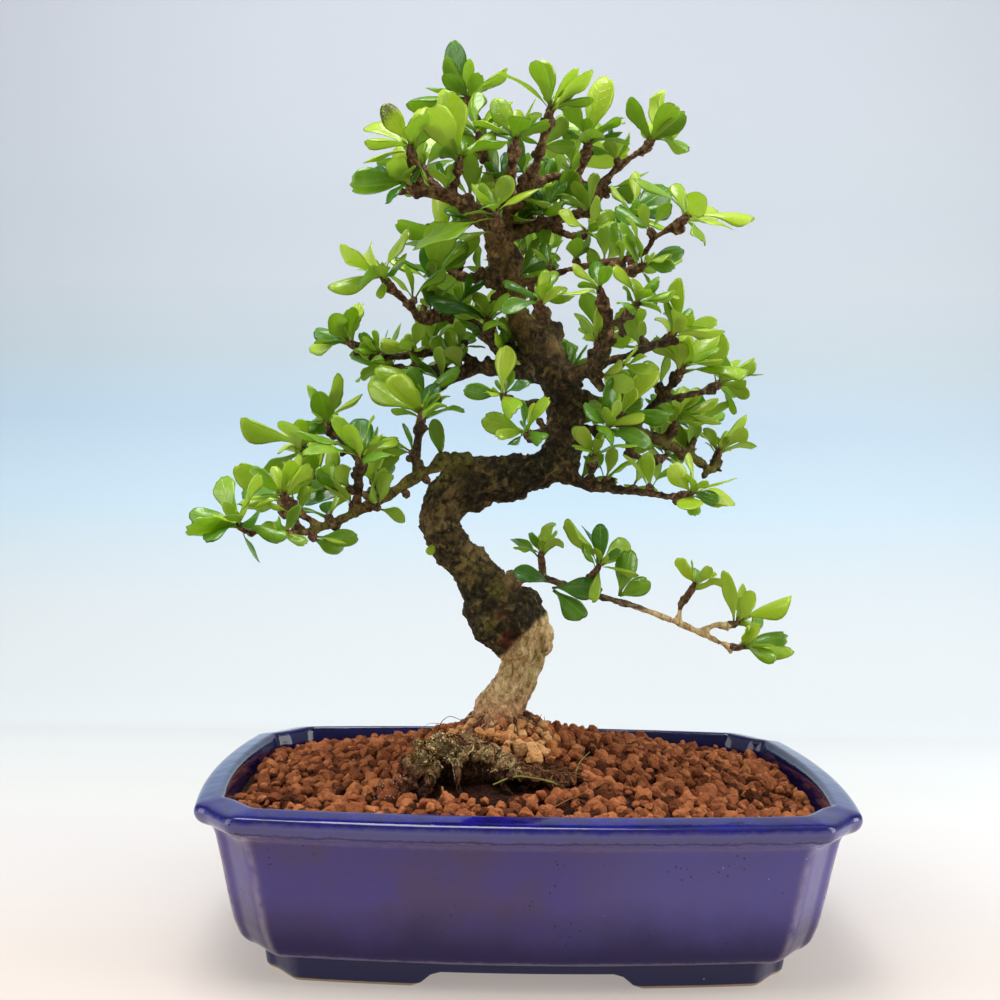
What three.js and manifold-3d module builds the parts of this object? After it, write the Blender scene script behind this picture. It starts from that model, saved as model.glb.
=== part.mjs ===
// Fukien tea bonsai in its blue glazed pot, in millimetres, +Z up.
// The origin is the middle of the pot's footprint, on the surface that the pot stands on.
// X runs along the pot's long side, and -Y is the pot's front.
import * as THREE from 'three';
import { mergeVertices } from 'three/addons/utils/BufferGeometryUtils.js';
import Module from 'manifold-3d';

const wasm = await Module();
wasm.setup();

// Driving dimensions of the pot
const POT_HALF_LENGTH = 130;
const POT_HALF_WIDTH = 92.8;
const POT_HEIGHT = 66.8;
const SIDE_BOW = 5.6;
const FRONT_BOW = 7.2;
const RIM_WIDTH = 10;
const FLOOR_TOP = 12.5;
const FLOOR_UNDERSIDE = 8.5;
const FOOT_INSET = [27, 20.5];
const FOOT_WIDTH = 11;
const ARCH_HEIGHT = 5.4;
const FRONT_ARCH_HALF = [42, 33];
const SIDE_ARCH_HALF = [30, 22];
const DRAIN_RADIUS = 9;
const DRAIN_SPACING = 50;

// Driving dimensions of the soil, the root mass and the leaves
const GAP = 0.3;
const SOIL_EDGE_HEIGHT = 58;
const SOIL_RISE = 20;
const SOIL_PEAK = [0, 15];
const SOIL_SPREAD = [78, 71];
const MOUND_RISE = 10;
const MOUND_PEAK = [-8, 3];
const MOUND_SPREAD = 31;
const GRANULE_RELIEF = 2.6;
const BLADE_THICKNESS = 0.6;
const WIDTH_TO_LENGTH = 0.275;
const BLADE_ARCH = 0.07;
const GOLDEN_ANGLE = 2.399963;
const WIDEST_AT = 0.62;
const STEM_LENGTH = 5.4;
const STEM_RADIUS = 1.6;
const STEM_RINGS = [[0, 1.3], [0.24, STEM_RADIUS], [0.62, STEM_RADIUS], [1, 1.3]];
const STEM_RISE = 0.7;
const SLOT_HALF = 1.1;
const LEAST_FACING = 0.36;
const KNOWN_SWAY = 0.035;
const TRIES = 50;
const LOWEST_LEAN = 1.35;
const LEAN_RANGE = 0.75;
const LEAN_SWAY = 0.5;
const TURN_SWAY = 0.24;
const LARGEST = 1.14;
const SHRINK_INWARD = 0.32;
const SHRINK_WHEN_FULL = 0.012;
const LIGHT_PULL = 0.2;

const paint = (color, roughness, metalness = 0) =>
  new THREE.MeshStandardMaterial({ color, roughness, metalness });
const GLAZE = paint(0x231f86, 0.16);
const SOIL = paint(0x6e3420, 0.95);
const ROOT_MASS = paint(0x6b5636, 0.95);
const BARK = paint(0x55402b, 0.9);
const MESH_PLASTIC = paint(0x25282a, 0.6);
const LEAF_GREENS = [0x6fa82a, 0x4f8f2c, 0x3a7a30, 0x85b53a].map((green) => paint(green, 0.35));

// Solids from points and triangles
function solid(points, faces) {
  return new wasm.Manifold(new wasm.Mesh({
    numProp: 3,
    vertProperties: new Float32Array(points.flat()),
    triVerts: new Uint32Array(faces.flat()),
  }));
}

function fromGeometry(geometry, x, y, z) {
  geometry.deleteAttribute('normal');
  geometry.deleteAttribute('uv');
  geometry.translate(x, y, z);
  const merged = mergeVertices(geometry, 1e-4);
  return new wasm.Manifold(new wasm.Mesh({
    numProp: 3,
    vertProperties: new Float32Array(merged.attributes.position.array),
    triVerts: new Uint32Array(merged.index.array),
  }));
}

// A skin over loops of equally many points, closed at both ends round a middle point.
function loft(loops) {
  const count = loops[0].length;
  const points = loops.flat();
  const faces = [];
  for (let k = 0; k + 1 < loops.length; k += 1) {
    for (let i = 0; i < count; i += 1) {
      const next = (i + 1) % count;
      const low = k * count;
      const high = low + count;
      faces.push([low + i, low + next, high + next], [low + i, high + next, high + i]);
    }
  }
  const middle = (loop) => [0, 1, 2].map((axis) =>
    loop.reduce((sum, point) => sum + point[axis], 0) / count);
  const last = (loops.length - 1) * count;
  points.push(middle(loops[0]), middle(loops[loops.length - 1]));
  for (let i = 0; i < count; i += 1) {
    const next = (i + 1) % count;
    faces.push([points.length - 2, next, i]);
    faces.push([points.length - 1, last + i, last + next]);
  }
  return solid(points, faces);
}

function seeded(seed) {
  let state = seed >>> 0;
  return () => {
    state = (state + 0x6d2b79f5) >>> 0;
    let mixed = Math.imul(state ^ (state >>> 15), 1 | state);
    mixed = (mixed + Math.imul(mixed ^ (mixed >>> 7), 61 | mixed)) ^ mixed;
    return ((mixed ^ (mixed >>> 14)) >>> 0) / 4294967296;
  };
}

// Vectors as plain arrays
const plus = (a, b, scale = 1) => [a[0] + b[0] * scale, a[1] + b[1] * scale, a[2] + b[2] * scale];
const dot = (a, b) => a[0] * b[0] + a[1] * b[1] + a[2] * b[2];
const cross = (a, b) => [
  a[1] * b[2] - a[2] * b[1],
  a[2] * b[0] - a[0] * b[2],
  a[0] * b[1] - a[1] * b[0],
];
const times = (a, scale) => [a[0] * scale, a[1] * scale, a[2] * scale];
const unit = (a) => times(a, 1 / Math.sqrt(dot(a, a)));

// Pot: bowed sides that meet in notched corners, drawn for one quarter and mirrored.
const CORNER = [[124.4, 67.2], [119, 71.6], [111, 82.6], [108.2, 85.6]];
const SIDE_STEPS = [0, 0.55];

function potQuarter() {
  const [sideX, sideY] = CORNER[0];
  const [frontX, frontY] = CORNER[CORNER.length - 1];
  const side = SIDE_STEPS.map((step) => [sideX + SIDE_BOW * (1 - step * step), sideY * step]);
  const front = SIDE_STEPS.map((step) => [frontX * step, frontY + FRONT_BOW * (1 - step * step)]);
  return { side, front };
}

function potLoop(insetX, insetY, z) {
  const scaleX = (POT_HALF_LENGTH - insetX) / POT_HALF_LENGTH;
  const scaleY = (POT_HALF_WIDTH - insetY) / POT_HALF_WIDTH;
  const { side, front } = potQuarter();
  const first = [...side, ...CORNER, ...front.slice().reverse()];
  const second = first.slice(0, -1).reverse().map(([x, y]) => [-x, y]);
  const half = [...first, ...second];
  const other = half.slice(1, -1).map(([x, y]) => [-x, -y]);
  return [...half, ...other].map(([x, y]) => [x * scaleX, y * scaleY, z]);
}

// Levels of the pot: inset from the rim's outline along X and along Y, then the height
const OUTER_PROFILE = [
  [25, 19, FLOOR_UNDERSIDE], [17.8, 13.6, 12], [14.4, 11.4, 20], [9.8, 8.6, 42], [6.8, 6.8, 55.4],
  [1.4, 1.4, 58], [0, 0, 60.4], [0, 0, 65.2], [1.6, 1.6, POT_HEIGHT],
];
const INNER_PROFILE = [
  [RIM_WIDTH, RIM_WIDTH, POT_HEIGHT], [12, 11.8, 63.5], [20, 18, FLOOR_TOP + 3], [24, 22, FLOOR_TOP],
];

function makePot() {
  const rings = [...OUTER_PROFILE, ...INNER_PROFILE].map((level) => potLoop(...level));
  const [footX, footY] = FOOT_INSET;
  const footTop = FLOOR_UNDERSIDE + 1;
  const inside = (z) => potLoop(footX + FOOT_WIDTH, footY + FOOT_WIDTH, z);
  const foot = loft([potLoop(footX, footY, 0), potLoop(footX - 1.5, footY - 1.5, footTop)])
    .subtract(loft([inside(-1), inside(footTop + 1)]));
  const arch = ([low, high], reach, turned) => {
    const loopAt = (half, z) => [[-half, -reach], [half, -reach], [half, reach], [-half, reach]]
      .map(([x, y]) => (turned ? [-y, x, z] : [x, y, z]));
    return loft([loopAt(low + 1, -0.7), loopAt(high, ARCH_HEIGHT)]);
  };
  let pot = loft(rings).add(foot)
    .subtract(arch(FRONT_ARCH_HALF, POT_HALF_LENGTH, false))
    .subtract(arch(SIDE_ARCH_HALF, POT_HALF_LENGTH, true));
  for (const side of [-1, 1]) {
    const hole = new THREE.CylinderGeometry(DRAIN_RADIUS, DRAIN_RADIUS, 12, 16).rotateX(Math.PI / 2);
    pot = pot.subtract(fromGeometry(hole, side * DRAIN_SPACING, 0, FLOOR_TOP - 2));
  }
  return pot;
}

// Plastic mesh over each drainage hole, under the soil
const MESH_SIZE = 30;
const MESH_THICKNESS = 1.2;
const MESH_HOLE = 9;
const MESH_PITCH = 6.5;
const SOIL_ABOVE_MESH = FLOOR_TOP + GAP + MESH_THICKNESS + GAP;

function makeDrainMesh(side) {
  const z = FLOOR_TOP + GAP + MESH_THICKNESS / 2;
  const x = side * DRAIN_SPACING;
  let plate = fromGeometry(new THREE.BoxGeometry(MESH_SIZE, MESH_SIZE, MESH_THICKNESS), x, 0, z);
  for (const column of [-1, 1]) {
    for (const row of [-1, 1]) {
      const hole = new THREE.BoxGeometry(MESH_HOLE, MESH_HOLE, 4);
      plate = plate.subtract(fromGeometry(hole, x + column * MESH_PITCH, row * MESH_PITCH, z));
    }
  }
  return plate;
}

// Limbs of the tree: points [x, y, z, radius] along each, and the first limb is the trunk.
const LIMBS = {
  trunk: [[-8, 3, 66, 15], [-8, 3, 77, 13.5], [-11, 3, 86, 11.5], [-9, 4, 93, 9.3],
    [-5, 4, 100, 8.6], [-2, 4, 107, 9], [-2, 4, 114, 10.2], [-5, 3, 121, 12.8], [-9, 2, 128, 13.8],
    [-13, 2, 135, 13], [-19, 2, 143, 10.4], [-25, 2, 151, 9.2], [-31, 3, 157, 8.8],
    [-36, 4, 164, 8.4], [-37, 5, 171, 8.3], [-35, 6, 179, 9.2], [-29, 6, 185, 9.4],
    [-21, 6, 188, 8.9], [-11, 5, 189, 8.3], [0, 4, 190, 8], [9, 4, 194, 7.9], [14, 5, 201, 7.6],
    [15, 6, 210, 7.7], [14, 7, 221, 7.3], [12, 6, 229, 7.8], [8, 5, 236, 8.2], [4, 4, 243, 8.3],
    [0, 4, 249, 6]],
  leader: [[1, 4, 242, 6.5], [-4, 3, 252, 4.9], [-8, 2, 261, 3.8], [-10, 3, 267, 5.2],
    [-12, 5, 276, 6.6], [-14, 5, 286, 7], [-15, 4, 294, 5.8], [-15, 3, 300, 4]],
  crown_stub: [[6, 5, 241, 6.4], [7, 7, 254, 6]],
  crown_right: [[-13, 5, 287, 5], [-5, 9, 293, 4.2], [6, 14, 298, 3.6], [21, 20, 304, 3.3],
    [29, 24, 315, 3.1], [38, 28, 326, 2.8], [51, 32, 336, 2]],
  crown_middle: [[-14, 4, 294, 5.2], [-9, 3, 303, 4.6], [-3, 1, 310, 3.8], [1, -2, 321, 2.8],
    [5, -5, 337, 1.9]],
  crown_cross: [[-6, 2, 307, 3.2], [3, 10, 315, 2.8], [12, 16, 318, 2.6], [28, 24, 315, 2.2]],
  crown_right_back: [[17, 19, 317, 2.2], [21, 20, 323, 2], [23, 18, 330, 1.7]],
  crown_front: [[-13, 3, 297, 4.6], [-11, -6, 306, 3.6], [-10, -12, 314, 2.8], [-9, -16, 321, 2]],
  crown_left: [[-14, 4, 291, 5], [-23, -2, 298, 4.1], [-37, -12, 303, 3.1], [-49, -20, 303, 2]],
  crown_left_tip: [[-45, -17, 303, 2.4], [-48, -21, 309, 2.1], [-50, -24, 315, 1.7]],
  crown_left_inner: [[-32, -8, 301, 2.6], [-34, -13, 307, 2.2], [-32, -16, 313, 1.7]],
  top: [[-15, 5, 294, 4.8], [-17, 12, 312, 3.7], [-20, 19, 332, 2.7], [-28, 22, 350, 1.8]],
  top_inner: [[-18, 14, 318, 2.4], [-21, 8, 324, 2], [-23, 3, 328, 1.7]],
  leader_front: [[-14, 2, 286, 3.2], [-15, -13, 288, 2.3], [-16, -22, 291, 1.7]],
  thin_right: [[-10, 3, 269, 4.2], [1, 0, 271, 2.8], [17, -14, 274, 2.4], [41, -32, 277, 2.1],
    [46, -36, 283, 1.9], [55, -42, 287, 1.5]],
  thin_right_under: [[26, -21, 275, 2.1], [34, -29, 271, 1.7], [39, -34, 270, 1.5]],
  short_right: [[10, 5, 232, 5.8], [20, -6, 232, 4.4], [27, -16, 235, 3.5], [29, -25, 243, 2.7],
    [29, -31, 251, 2.1], [26, -36, 258, 1.7]],
  short_right_front: [[29, -29, 248, 2], [32, -35, 250, 1.7], [37, -41, 253, 1.5]],
  cut_stub: [[24, -11, 233, 3.2], [29, -14, 224, 2.6]],
  short_right_side: [[26, -14, 235, 2.8], [42, -12, 240, 2.2], [56, -8, 246, 1.7]],
  right: [[12, 6, 223, 5.8], [26, 14, 222, 4.3], [48, 30, 210, 3.3], [62, 38, 205, 2.9],
    [77, 46, 198, 2.5], [86, 50, 193, 2.2], [88, 52, 198, 1.7]],
  right_upper: [[47, 29, 210, 2.8], [52, 24, 218, 2.4], [58, 19, 225, 2], [64, 14, 233, 1.7]],
  right_upper_end: [[57, 20, 223, 2.1], [72, 24, 226, 1.9], [82, 28, 229, 1.6]],
  right_twig: [[62, 38, 205, 2.3], [65, 33, 211, 1.8]],
  right_outer: [[74, 44, 199, 2.3], [76, 47, 208, 1.7]],
  right_front: [[33, 19, 218, 2.7], [36, 8, 214, 2.1], [37, 0, 213, 1.7]],
  right_under: [[46, 29, 211, 2.7], [46, 34, 200, 2.2], [59, 40, 197, 1.7]],
  right_inner: [[13, 4, 211, 3], [22, -8, 209, 2.2], [28, -14, 207, 1.7]],
  under_right: [[12, 5, 192, 5], [23, 0, 186, 3.4], [35, -12, 184, 2.4], [44, -24, 183, 2],
    [59, -38, 181, 1.5]],
  under_right_twig: [[23, 0, 186, 2.3], [25, -10, 190, 1.8], [25, -16, 194, 1.6]],
  front_low: [[13, 2, 209, 3.2], [5, -20, 207, 2.3], [-1, -32, 204, 1.7]],
  front_high: [[5, 0, 241, 3.2], [3, -20, 248, 2.2], [2, -30, 254, 1.7]],
  front_middle: [[11, 3, 221, 3.2], [-1, -18, 218, 2.3], [-10, -30, 218, 1.7]],
  left_middle: [[8, 6, 232, 6.2], [-4, 14, 234, 4.8], [-22, 26, 236, 4.1], [-33, 30, 233, 3.5],
    [-46, 34, 236, 2.5], [-59, 36, 235, 1.7]],
  left_middle_front: [[-12, 20, 236, 2.8], [-15, 10, 245, 2.3], [-18, 4, 251, 1.8]],
  left_middle_under: [[-33, 30, 232, 2.4], [-40, 18, 225, 1.9], [-43, 10, 221, 1.6]],
  left_far: [[-22, 26, 236, 3], [-35, 27, 243, 2.7], [-66, 30, 240, 2.2], [-77, 30, 244, 1.7]],
  left_high: [[-11, 4, 271, 5], [-18, 12, 273, 3.8], [-29, 22, 275, 3.1], [-36, 30, 280, 2.5],
    [-38, 34, 287, 1.8]],
  left_upper: [[-2, 7, 240, 4], [-15, 13, 245, 3.2], [-30, 14, 258, 2.9], [-40, 7, 255, 2.6],
    [-47, 2, 254, 2.5], [-51, -2, 259, 2.2], [-60, -9, 266, 1.7]],
  left_upper_twig: [[-47, 2, 254, 2.1], [-45, 6, 262, 1.8], [-43, 10, 268, 1.6]],
  left_low: [[-20, 4, 187, 5.4], [-29, -5, 196, 4.1], [-46, -14, 188, 3.5], [-59, -20, 179, 3.1],
    [-72, -29, 172, 2.8], [-89, -39, 165, 2.2], [-99, -47, 166, 1.7], [-108, -54, 166, 1.4]],
  left_low_inner: [[-46, -14, 187, 2.7], [-47, -17, 195, 2.3], [-45, -22, 209, 1.8]],
  left_low_middle: [[-70, -28, 173, 2.9], [-69, -31, 182, 2.6], [-68, -35, 191, 1.9]],
  left_low_back: [[-61, -21, 177, 2.8], [-75, -4, 182, 2.5], [-96, 14, 185, 2.2],
    [-98, 19, 195, 1.7]],
  left_low_outer: [[-82, -35, 167, 2.3], [-90, -37, 172, 1.7], [-95, -38, 176, 1.5]],
  left_low_high: [[-60, -20, 179, 2.5], [-68, 0, 190, 2.2], [-79, 12, 201, 1.9],
    [-86, 18, 207, 1.6]],
  left_low_rear: [[-89, -38, 165, 2], [-96, -22, 169, 1.6], [-101, -14, 173, 1.4]],
  low_right: [[-8, 0, 138, 6], [-3, -12, 146, 3.8], [6, -16, 147, 3], [19, -18, 143, 2.7],
    [45, -22, 136, 2.5], [69, -27, 127, 2.3], [81, -29, 121, 1.7]],
  low_right_inner: [[6, -16, 147, 2.3], [5, -18, 153, 1.6]],
  low_right_middle: [[20, -18, 143, 2.3], [26, -21, 149, 1.7]],
  low_right_outer: [[60, -25, 130, 2.3], [61, -26, 138, 1.9], [64, -27, 142, 1.6]],
  low_right_end: [[69, -27, 127, 2.2], [75, -25, 130, 1.8], [81, -23, 129, 1.5]],
  back_crown_right: [[-13, 7, 289, 3.6], [0, 30, 305, 2.7], [12, 48, 318, 2.1], [18, 58, 328, 1.6]],
  back_crown_left: [[-15, 7, 291, 3.6], [-30, 28, 305, 2.7], [-42, 42, 318, 2.1],
    [-48, 50, 326, 1.6]],
  back_upper: [[-12, 6, 274, 3.6], [-6, 30, 276, 2.7], [-2, 52, 284, 2.1], [-2, 64, 291, 1.6]],
  back_right: [[13, 9, 224, 4], [20, 34, 232, 3], [30, 54, 244, 2.3], [34, 66, 252, 1.7]],
  back_left: [[6, 7, 238, 4], [-6, 34, 244, 3], [-20, 54, 252, 2.3], [-26, 64, 260, 1.7]],
  crown_fill_right: [[21, 19, 303, 2.4], [30, 6, 299, 1.9], [37, -1, 296, 1.6]],
  crown_fill_inner: [[6, 13, 297, 2.6], [13, 2, 291, 2], [19, -6, 288, 1.6]],
  root_front: [[-8, 2, 82, 8], [-15, -14, 74, 6], [-24, -27, 64, 4]],
  root_left: [[-10, 3, 82, 8], [-26, 8, 74, 5.6], [-36, 12, 62, 3.8]],
  root_right: [[-6, 3, 82, 8], [8, 2, 74, 6], [20, -2, 62, 4]],
  root_back: [[-8, 5, 82, 8], [-4, 20, 75, 5.6], [0, 32, 63, 3.8]],
};
const BELOW_GROUND = ['trunk', 'root_front', 'root_left', 'root_right', 'root_back'];

// The trunk's foot is thicker than this radius, and no other limb's is.
const OLD_WOOD = 10;

function sidesOf(radius) {
  if (radius > OLD_WOOD) return 8;
  return radius > 3.3 ? 5 : 4;
}

// A limb is a skin over rings that turn with its route. The old bark swells and shrinks by a tenth.
function limbSolid(points, grow, seed) {
  const random = seeded(seed);
  const sides = sidesOf(points[0][3]);
  const relief = points[0][3] > OLD_WOOD ? 0.1 : 0.04;
  let across = [0, 1, 0.3];
  const rings = points.map((point, index) => {
    const before = points[Math.max(index - 1, 0)];
    const after = points[Math.min(index + 1, points.length - 1)];
    const along = unit(plus(after, before, -1));
    across = unit(plus(across, along, -dot(across, along)));
    const other = cross(along, across);
    return Array.from({ length: sides }, (_, side) => {
      const angle = (2 * Math.PI * side) / sides;
      const reach = point[3] * (1 + relief * (2 * random() - 1)) + grow;
      return plus(plus(point, across, reach * Math.cos(angle)), other, reach * Math.sin(angle));
    });
  });
  return loft(rings);
}

const BARK_SEED = 100;

function makeWood(names, grow) {
  return names
    .map((name) => limbSolid(LIMBS[name], grow, BARK_SEED + Object.keys(LIMBS).indexOf(name)))
    .reduce((whole, limb) => whole.add(limb));
}

// Mossy root mass in front of the trunk, with a plain hole for the wood
const ROOT_MASS_CENTRE = [-19, -25, 66];
const ROOT_MASS_REACH = [34, 23, 17];

function rootMassSolid(grow) {
  const random = seeded(7);
  const columns = 12;
  const loops = [];
  for (let row = 1; row < 6; row += 1) {
    const tilt = (Math.PI * row) / 6;
    loops.push(Array.from({ length: columns }, (_, column) => {
      const turn = (2 * Math.PI * column) / columns;
      const lump = 0.9 + 0.2 * random();
      return [
        ROOT_MASS_CENTRE[0] + Math.sin(tilt) * Math.cos(turn) * (ROOT_MASS_REACH[0] * lump + grow),
        ROOT_MASS_CENTRE[1] + Math.sin(tilt) * Math.sin(turn) * (ROOT_MASS_REACH[1] * lump + grow),
        ROOT_MASS_CENTRE[2] - Math.cos(tilt) * (ROOT_MASS_REACH[2] * lump + grow),
      ];
    }));
  }
  return loft(loops);
}

// Soil: a mound of granules that fills the pot, its top a relief of coarse granules
function soilHeight(x, y) {
  const bell = ([peakX, peakY], [spreadX, spreadY]) =>
    Math.exp(-(((x - peakX) / spreadX) ** 2) - ((y - peakY) / spreadY) ** 2);
  return SOIL_EDGE_HEIGHT + SOIL_RISE * bell(SOIL_PEAK, SOIL_SPREAD)
    + MOUND_RISE * bell(MOUND_PEAK, [MOUND_SPREAD, MOUND_SPREAD]);
}

function makeSoil() {
  const random = seeded(11);
  const columns = 18;
  const rows = 11;
  const halfX = 124;
  const halfY = 88;
  const points = [];
  for (let row = 0; row <= rows; row += 1) {
    for (let column = 0; column <= columns; column += 1) {
      const shift = row % 2 ? 0.5 : 0;
      const x = -halfX + (2 * halfX * (column + shift * (column > 0 && column < columns))) / columns;
      const y = -halfY + (2 * halfY * row) / rows;
      points.push([x, y, soilHeight(x, y) + GRANULE_RELIEF * (2 * random() - 1)]);
    }
  }
  const floorStart = points.length;
  points.push(...points.map(([x, y]) => [x, y, 0]));
  const faces = [];
  const across = columns + 1;
  for (let row = 0; row < rows; row += 1) {
    for (let column = 0; column < columns; column += 1) {
      const a = row * across + column;
      const b = a + 1;
      const c = b + across;
      const d = a + across;
      const [e, f, g, h] = [a, b, c, d].map((index) => index + floorStart);
      faces.push([a, b, c], [a, c, d], [e, g, f], [e, h, g]);
    }
  }
  const wall = (a, b) => faces.push([a, a + floorStart, b + floorStart], [a, b + floorStart, b]);
  for (let column = 0; column < columns; column += 1) {
    wall(column, column + 1);
    wall(rows * across + column + 1, rows * across + column);
  }
  for (let row = 0; row < rows; row += 1) {
    wall((row + 1) * across, row * across);
    wall(row * across + columns, (row + 1) * across + columns);
  }
  const room = [
    [24.8, 22.8, SOIL_ABOVE_MESH], [20.4, 18.4, FLOOR_TOP + 4], [6, 7, 100],
  ];
  return solid(points, faces).intersect(loft(room.map((level) => potLoop(...level))));
}

// Leafy sprays: each grows from the end of the limb of its name. Each entry holds how many leaves it
// has, the usual length of a leaf, and the tips of the leaves whose places are known.
const SPRAYS = {
  crown_right: [6, 23, [[66, 38, 346], [58, 34, 360], [66, 22, 332]]],
  crown_middle: [6, 23, [[1, -12, 359], [14, -12, 356]]],
  crown_right_back: [6, 26, [[30, 14, 362], [12, 10, 350], [40, 4, 330]]],
  crown_front: [6, 21, []],
  crown_left: [5, 23, [[-74, -30, 302], [-56, -38, 288]]],
  crown_left_tip: [6, 23, [[-62, -40, 331], [-72, -36, 325], [-70, -20, 313]]],
  crown_left_inner: [5, 25, [[-37, -28, 342]]],
  top: [7, 23, [[-36, 20, 377], [-29, 10, 366], [-12, 22, 366], [-48, 28, 358]]],
  top_inner: [6, 22, []],
  leader_front: [6, 22, [[-49, -30, 277]]],
  thin_right: [6, 20, [[36, -46, 304], [61, -48, 289], [62, -52, 275]]],
  thin_right_under: [6, 22, [[52, -42, 266], [46, -36, 256]]],
  short_right: [6, 21, [[16, -46, 263]]],
  short_right_front: [5, 20, [[46, -52, 265]]],
  short_right_side: [6, 23, [[74, -14, 250], [66, -4, 260]]],
  right: [5, 16, []],
  right_upper: [6, 23, [[68, 8, 250], [82, 4, 240]]],
  right_upper_end: [6, 22, [[94, 34, 243], [98, 30, 226], [92, 44, 214]]],
  right_twig: [7, 21, []],
  right_outer: [6, 22, [[88, 52, 222]]],
  right_front: [7, 23, []],
  right_under: [6, 20, [[74, 46, 192]]],
  right_inner: [7, 22, []],
  under_right: [6, 20, [[72, -46, 180], [62, -48, 172]]],
  under_right_twig: [5, 20, []],
  front_low: [7, 23, [[-14, -44, 198]]],
  front_high: [6, 22, [[-20, -38, 252]]],
  front_middle: [7, 26, [[-37, -40, 222], [4, -44, 228]]],
  left_middle: [7, 22, [[-80, 34, 238], [-78, 44, 230]]],
  left_middle_front: [7, 22, []],
  left_middle_under: [7, 22, []],
  left_far: [6, 22, [[-88, 32, 256], [-78, 34, 264], [-96, 34, 246]]],
  left_high: [7, 22, []],
  left_upper: [7, 24, [[-79, -20, 280], [-84, -16, 264], [-62, -20, 254]]],
  left_upper_twig: [7, 22, [[-60, 16, 282]]],
  left_low: [6, 20, [[-127, -74, 168], [-104, -60, 153], [-92, -60, 164]]],
  left_low_inner: [7, 23, [[-57, -34, 226], [-36, -34, 222]]],
  left_low_middle: [7, 25, [[-88, -52, 196], [-78, -42, 211], [-62, -44, 211], [-94, -36, 202]]],
  left_low_back: [6, 22, [[-124, 12, 211], [-116, 26, 188]]],
  left_low_outer: [7, 22, [[-108, -48, 190], [-96, -50, 194], [-112, -44, 170]]],
  left_low_high: [6, 21, [[-96, 14, 226], [-106, 22, 208]]],
  left_low_rear: [5, 20, [[-119, -6, 184]]],
  low_right: [4, 18, [[97, -40, 118], [103, -32, 124]]],
  low_right_inner: [6, 17, [[-7, -22, 160], [0, -26, 166]]],
  low_right_middle: [6, 21, [[28, -24, 170], [44, -26, 150], [24, -32, 134]]],
  low_right_outer: [5, 18, [[58, -32, 157], [70, -34, 156]]],
  low_right_end: [6, 22, [[104, -34, 142], [88, -14, 146]]],
  back_crown_right: [6, 22, []],
  back_crown_left: [6, 22, []],
  back_upper: [7, 22, []],
  back_right: [7, 22, []],
  back_left: [7, 22, []],
  crown_fill_right: [7, 21, [[52, -8, 302]]],
  crown_fill_inner: [7, 22, []],
};

// A direction square to a stem, taken from whichever of two references lies further from it
function squareTo(along) {
  return unit(cross(along, Math.abs(along[1]) < 0.7 ? [0.2, -1, 0.1] : [1, 0.2, 0.1]));
}

// A stem is a short four-sided shoot on the end of its limb, bent towards the light. Its faces above
// the stalk, and its end, are the places where leaves can grow.
function sprayStem(name) {
  const limb = LIMBS[name];
  const end = limb[limb.length - 1];
  const limbAlong = unit(plus(end, limb[limb.length - 2], -1));
  const along = unit(plus(limbAlong, [0, 0, 1], STEM_RISE));
  const foot = plus(end, limbAlong, GAP + 0.05);
  const upright = squareTo(along);
  const rings = STEM_RINGS.map(([share, radius], level) => {
    const facing = level === 0 ? limbAlong : along;
    const across = unit(plus(upright, facing, -dot(upright, facing)));
    const other = cross(facing, across);
    const centre = plus(foot, along, STEM_LENGTH * share);
    return [0, 1, 2, 3].map((corner) => {
      const angle = (Math.PI / 2) * corner;
      return plus(plus(centre, across, radius * Math.cos(angle)), other, radius * Math.sin(angle));
    });
  });
  const slots = [];
  for (let level = 1; level + 1 < rings.length; level += 1) {
    for (let corner = 0; corner < 4; corner += 1) {
      const next = (corner + 1) % 4;
      const corners = [[level, corner], [level, next], [level + 1, next], [level + 1, corner]];
      slots.push(stemSlot(corners, rings));
    }
  }
  const last = rings.length - 1;
  slots.push(stemSlot([[last, 0], [last, 1], [last, 2], [last, 3]], rings));
  return { foot, along, rings, slots };
}

// A slot's corners run from its lower edge to its upper edge, against the clock seen from outside.
function stemSlot(corners, rings) {
  const [a, b, c, d] = corners.map(([level, corner]) => rings[level][corner]);
  const centre = times(plus(plus(plus(a, b), c), d), 0.25);
  const up = unit(plus(plus(c, d), plus(a, b), -1));
  return { corners, centre, up, facing: unit(cross(plus(b, a, -1), plus(d, a, -1))), taken: false };
}

// A blade's frame: its foot, its direction, its upper side and its length. It arches over its chord.
function bladeTo(slot, tip) {
  const chord = plus(tip, slot.centre, -1);
  const length = Math.sqrt(dot(chord, chord));
  const along = times(chord, 1 / length);
  const upper = unit(plus(slot.up, along, -dot(slot.up, along)));
  return { foot: slot.centre, along, upper, side: cross(upper, along), length, slot };
}

// Half the width along the blade: a wedge to the widest place and a round end
function halfWidth(blade, u) {
  const widest = blade.length * WIDTH_TO_LENGTH;
  if (u < WIDEST_AT) return SLOT_HALF + ((widest - SLOT_HALF) * u) / WIDEST_AT;
  return widest * (1 - (0.4 * (u - WIDEST_AT)) / (1 - WIDEST_AT));
}

function bladePoint(blade, u, across, lift) {
  const rise = blade.length * BLADE_ARCH * 4 * u * (1 - u) + lift;
  const onChord = plus(blade.foot, blade.along, blade.length * u);
  return plus(plus(onChord, blade.side, across), blade.upper, rise);
}

// The blade's outline after its foot, as places along it and shares of its half width: two wide
// places and a round end with three teeth. Both faces are split into the same triangles.
const OUTLINE = [
  [WIDEST_AT, 1], [0.91, 0.7], [0.93, 0.32], [1, 0], [0.93, -0.32], [0.91, -0.7], [WIDEST_AT, -1],
];
const SPLIT = [[8, 0, 1], [8, 1, 7], [1, 2, 3], [7, 1, 3], [7, 3, 5], [3, 4, 5], [7, 5, 6]];

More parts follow.
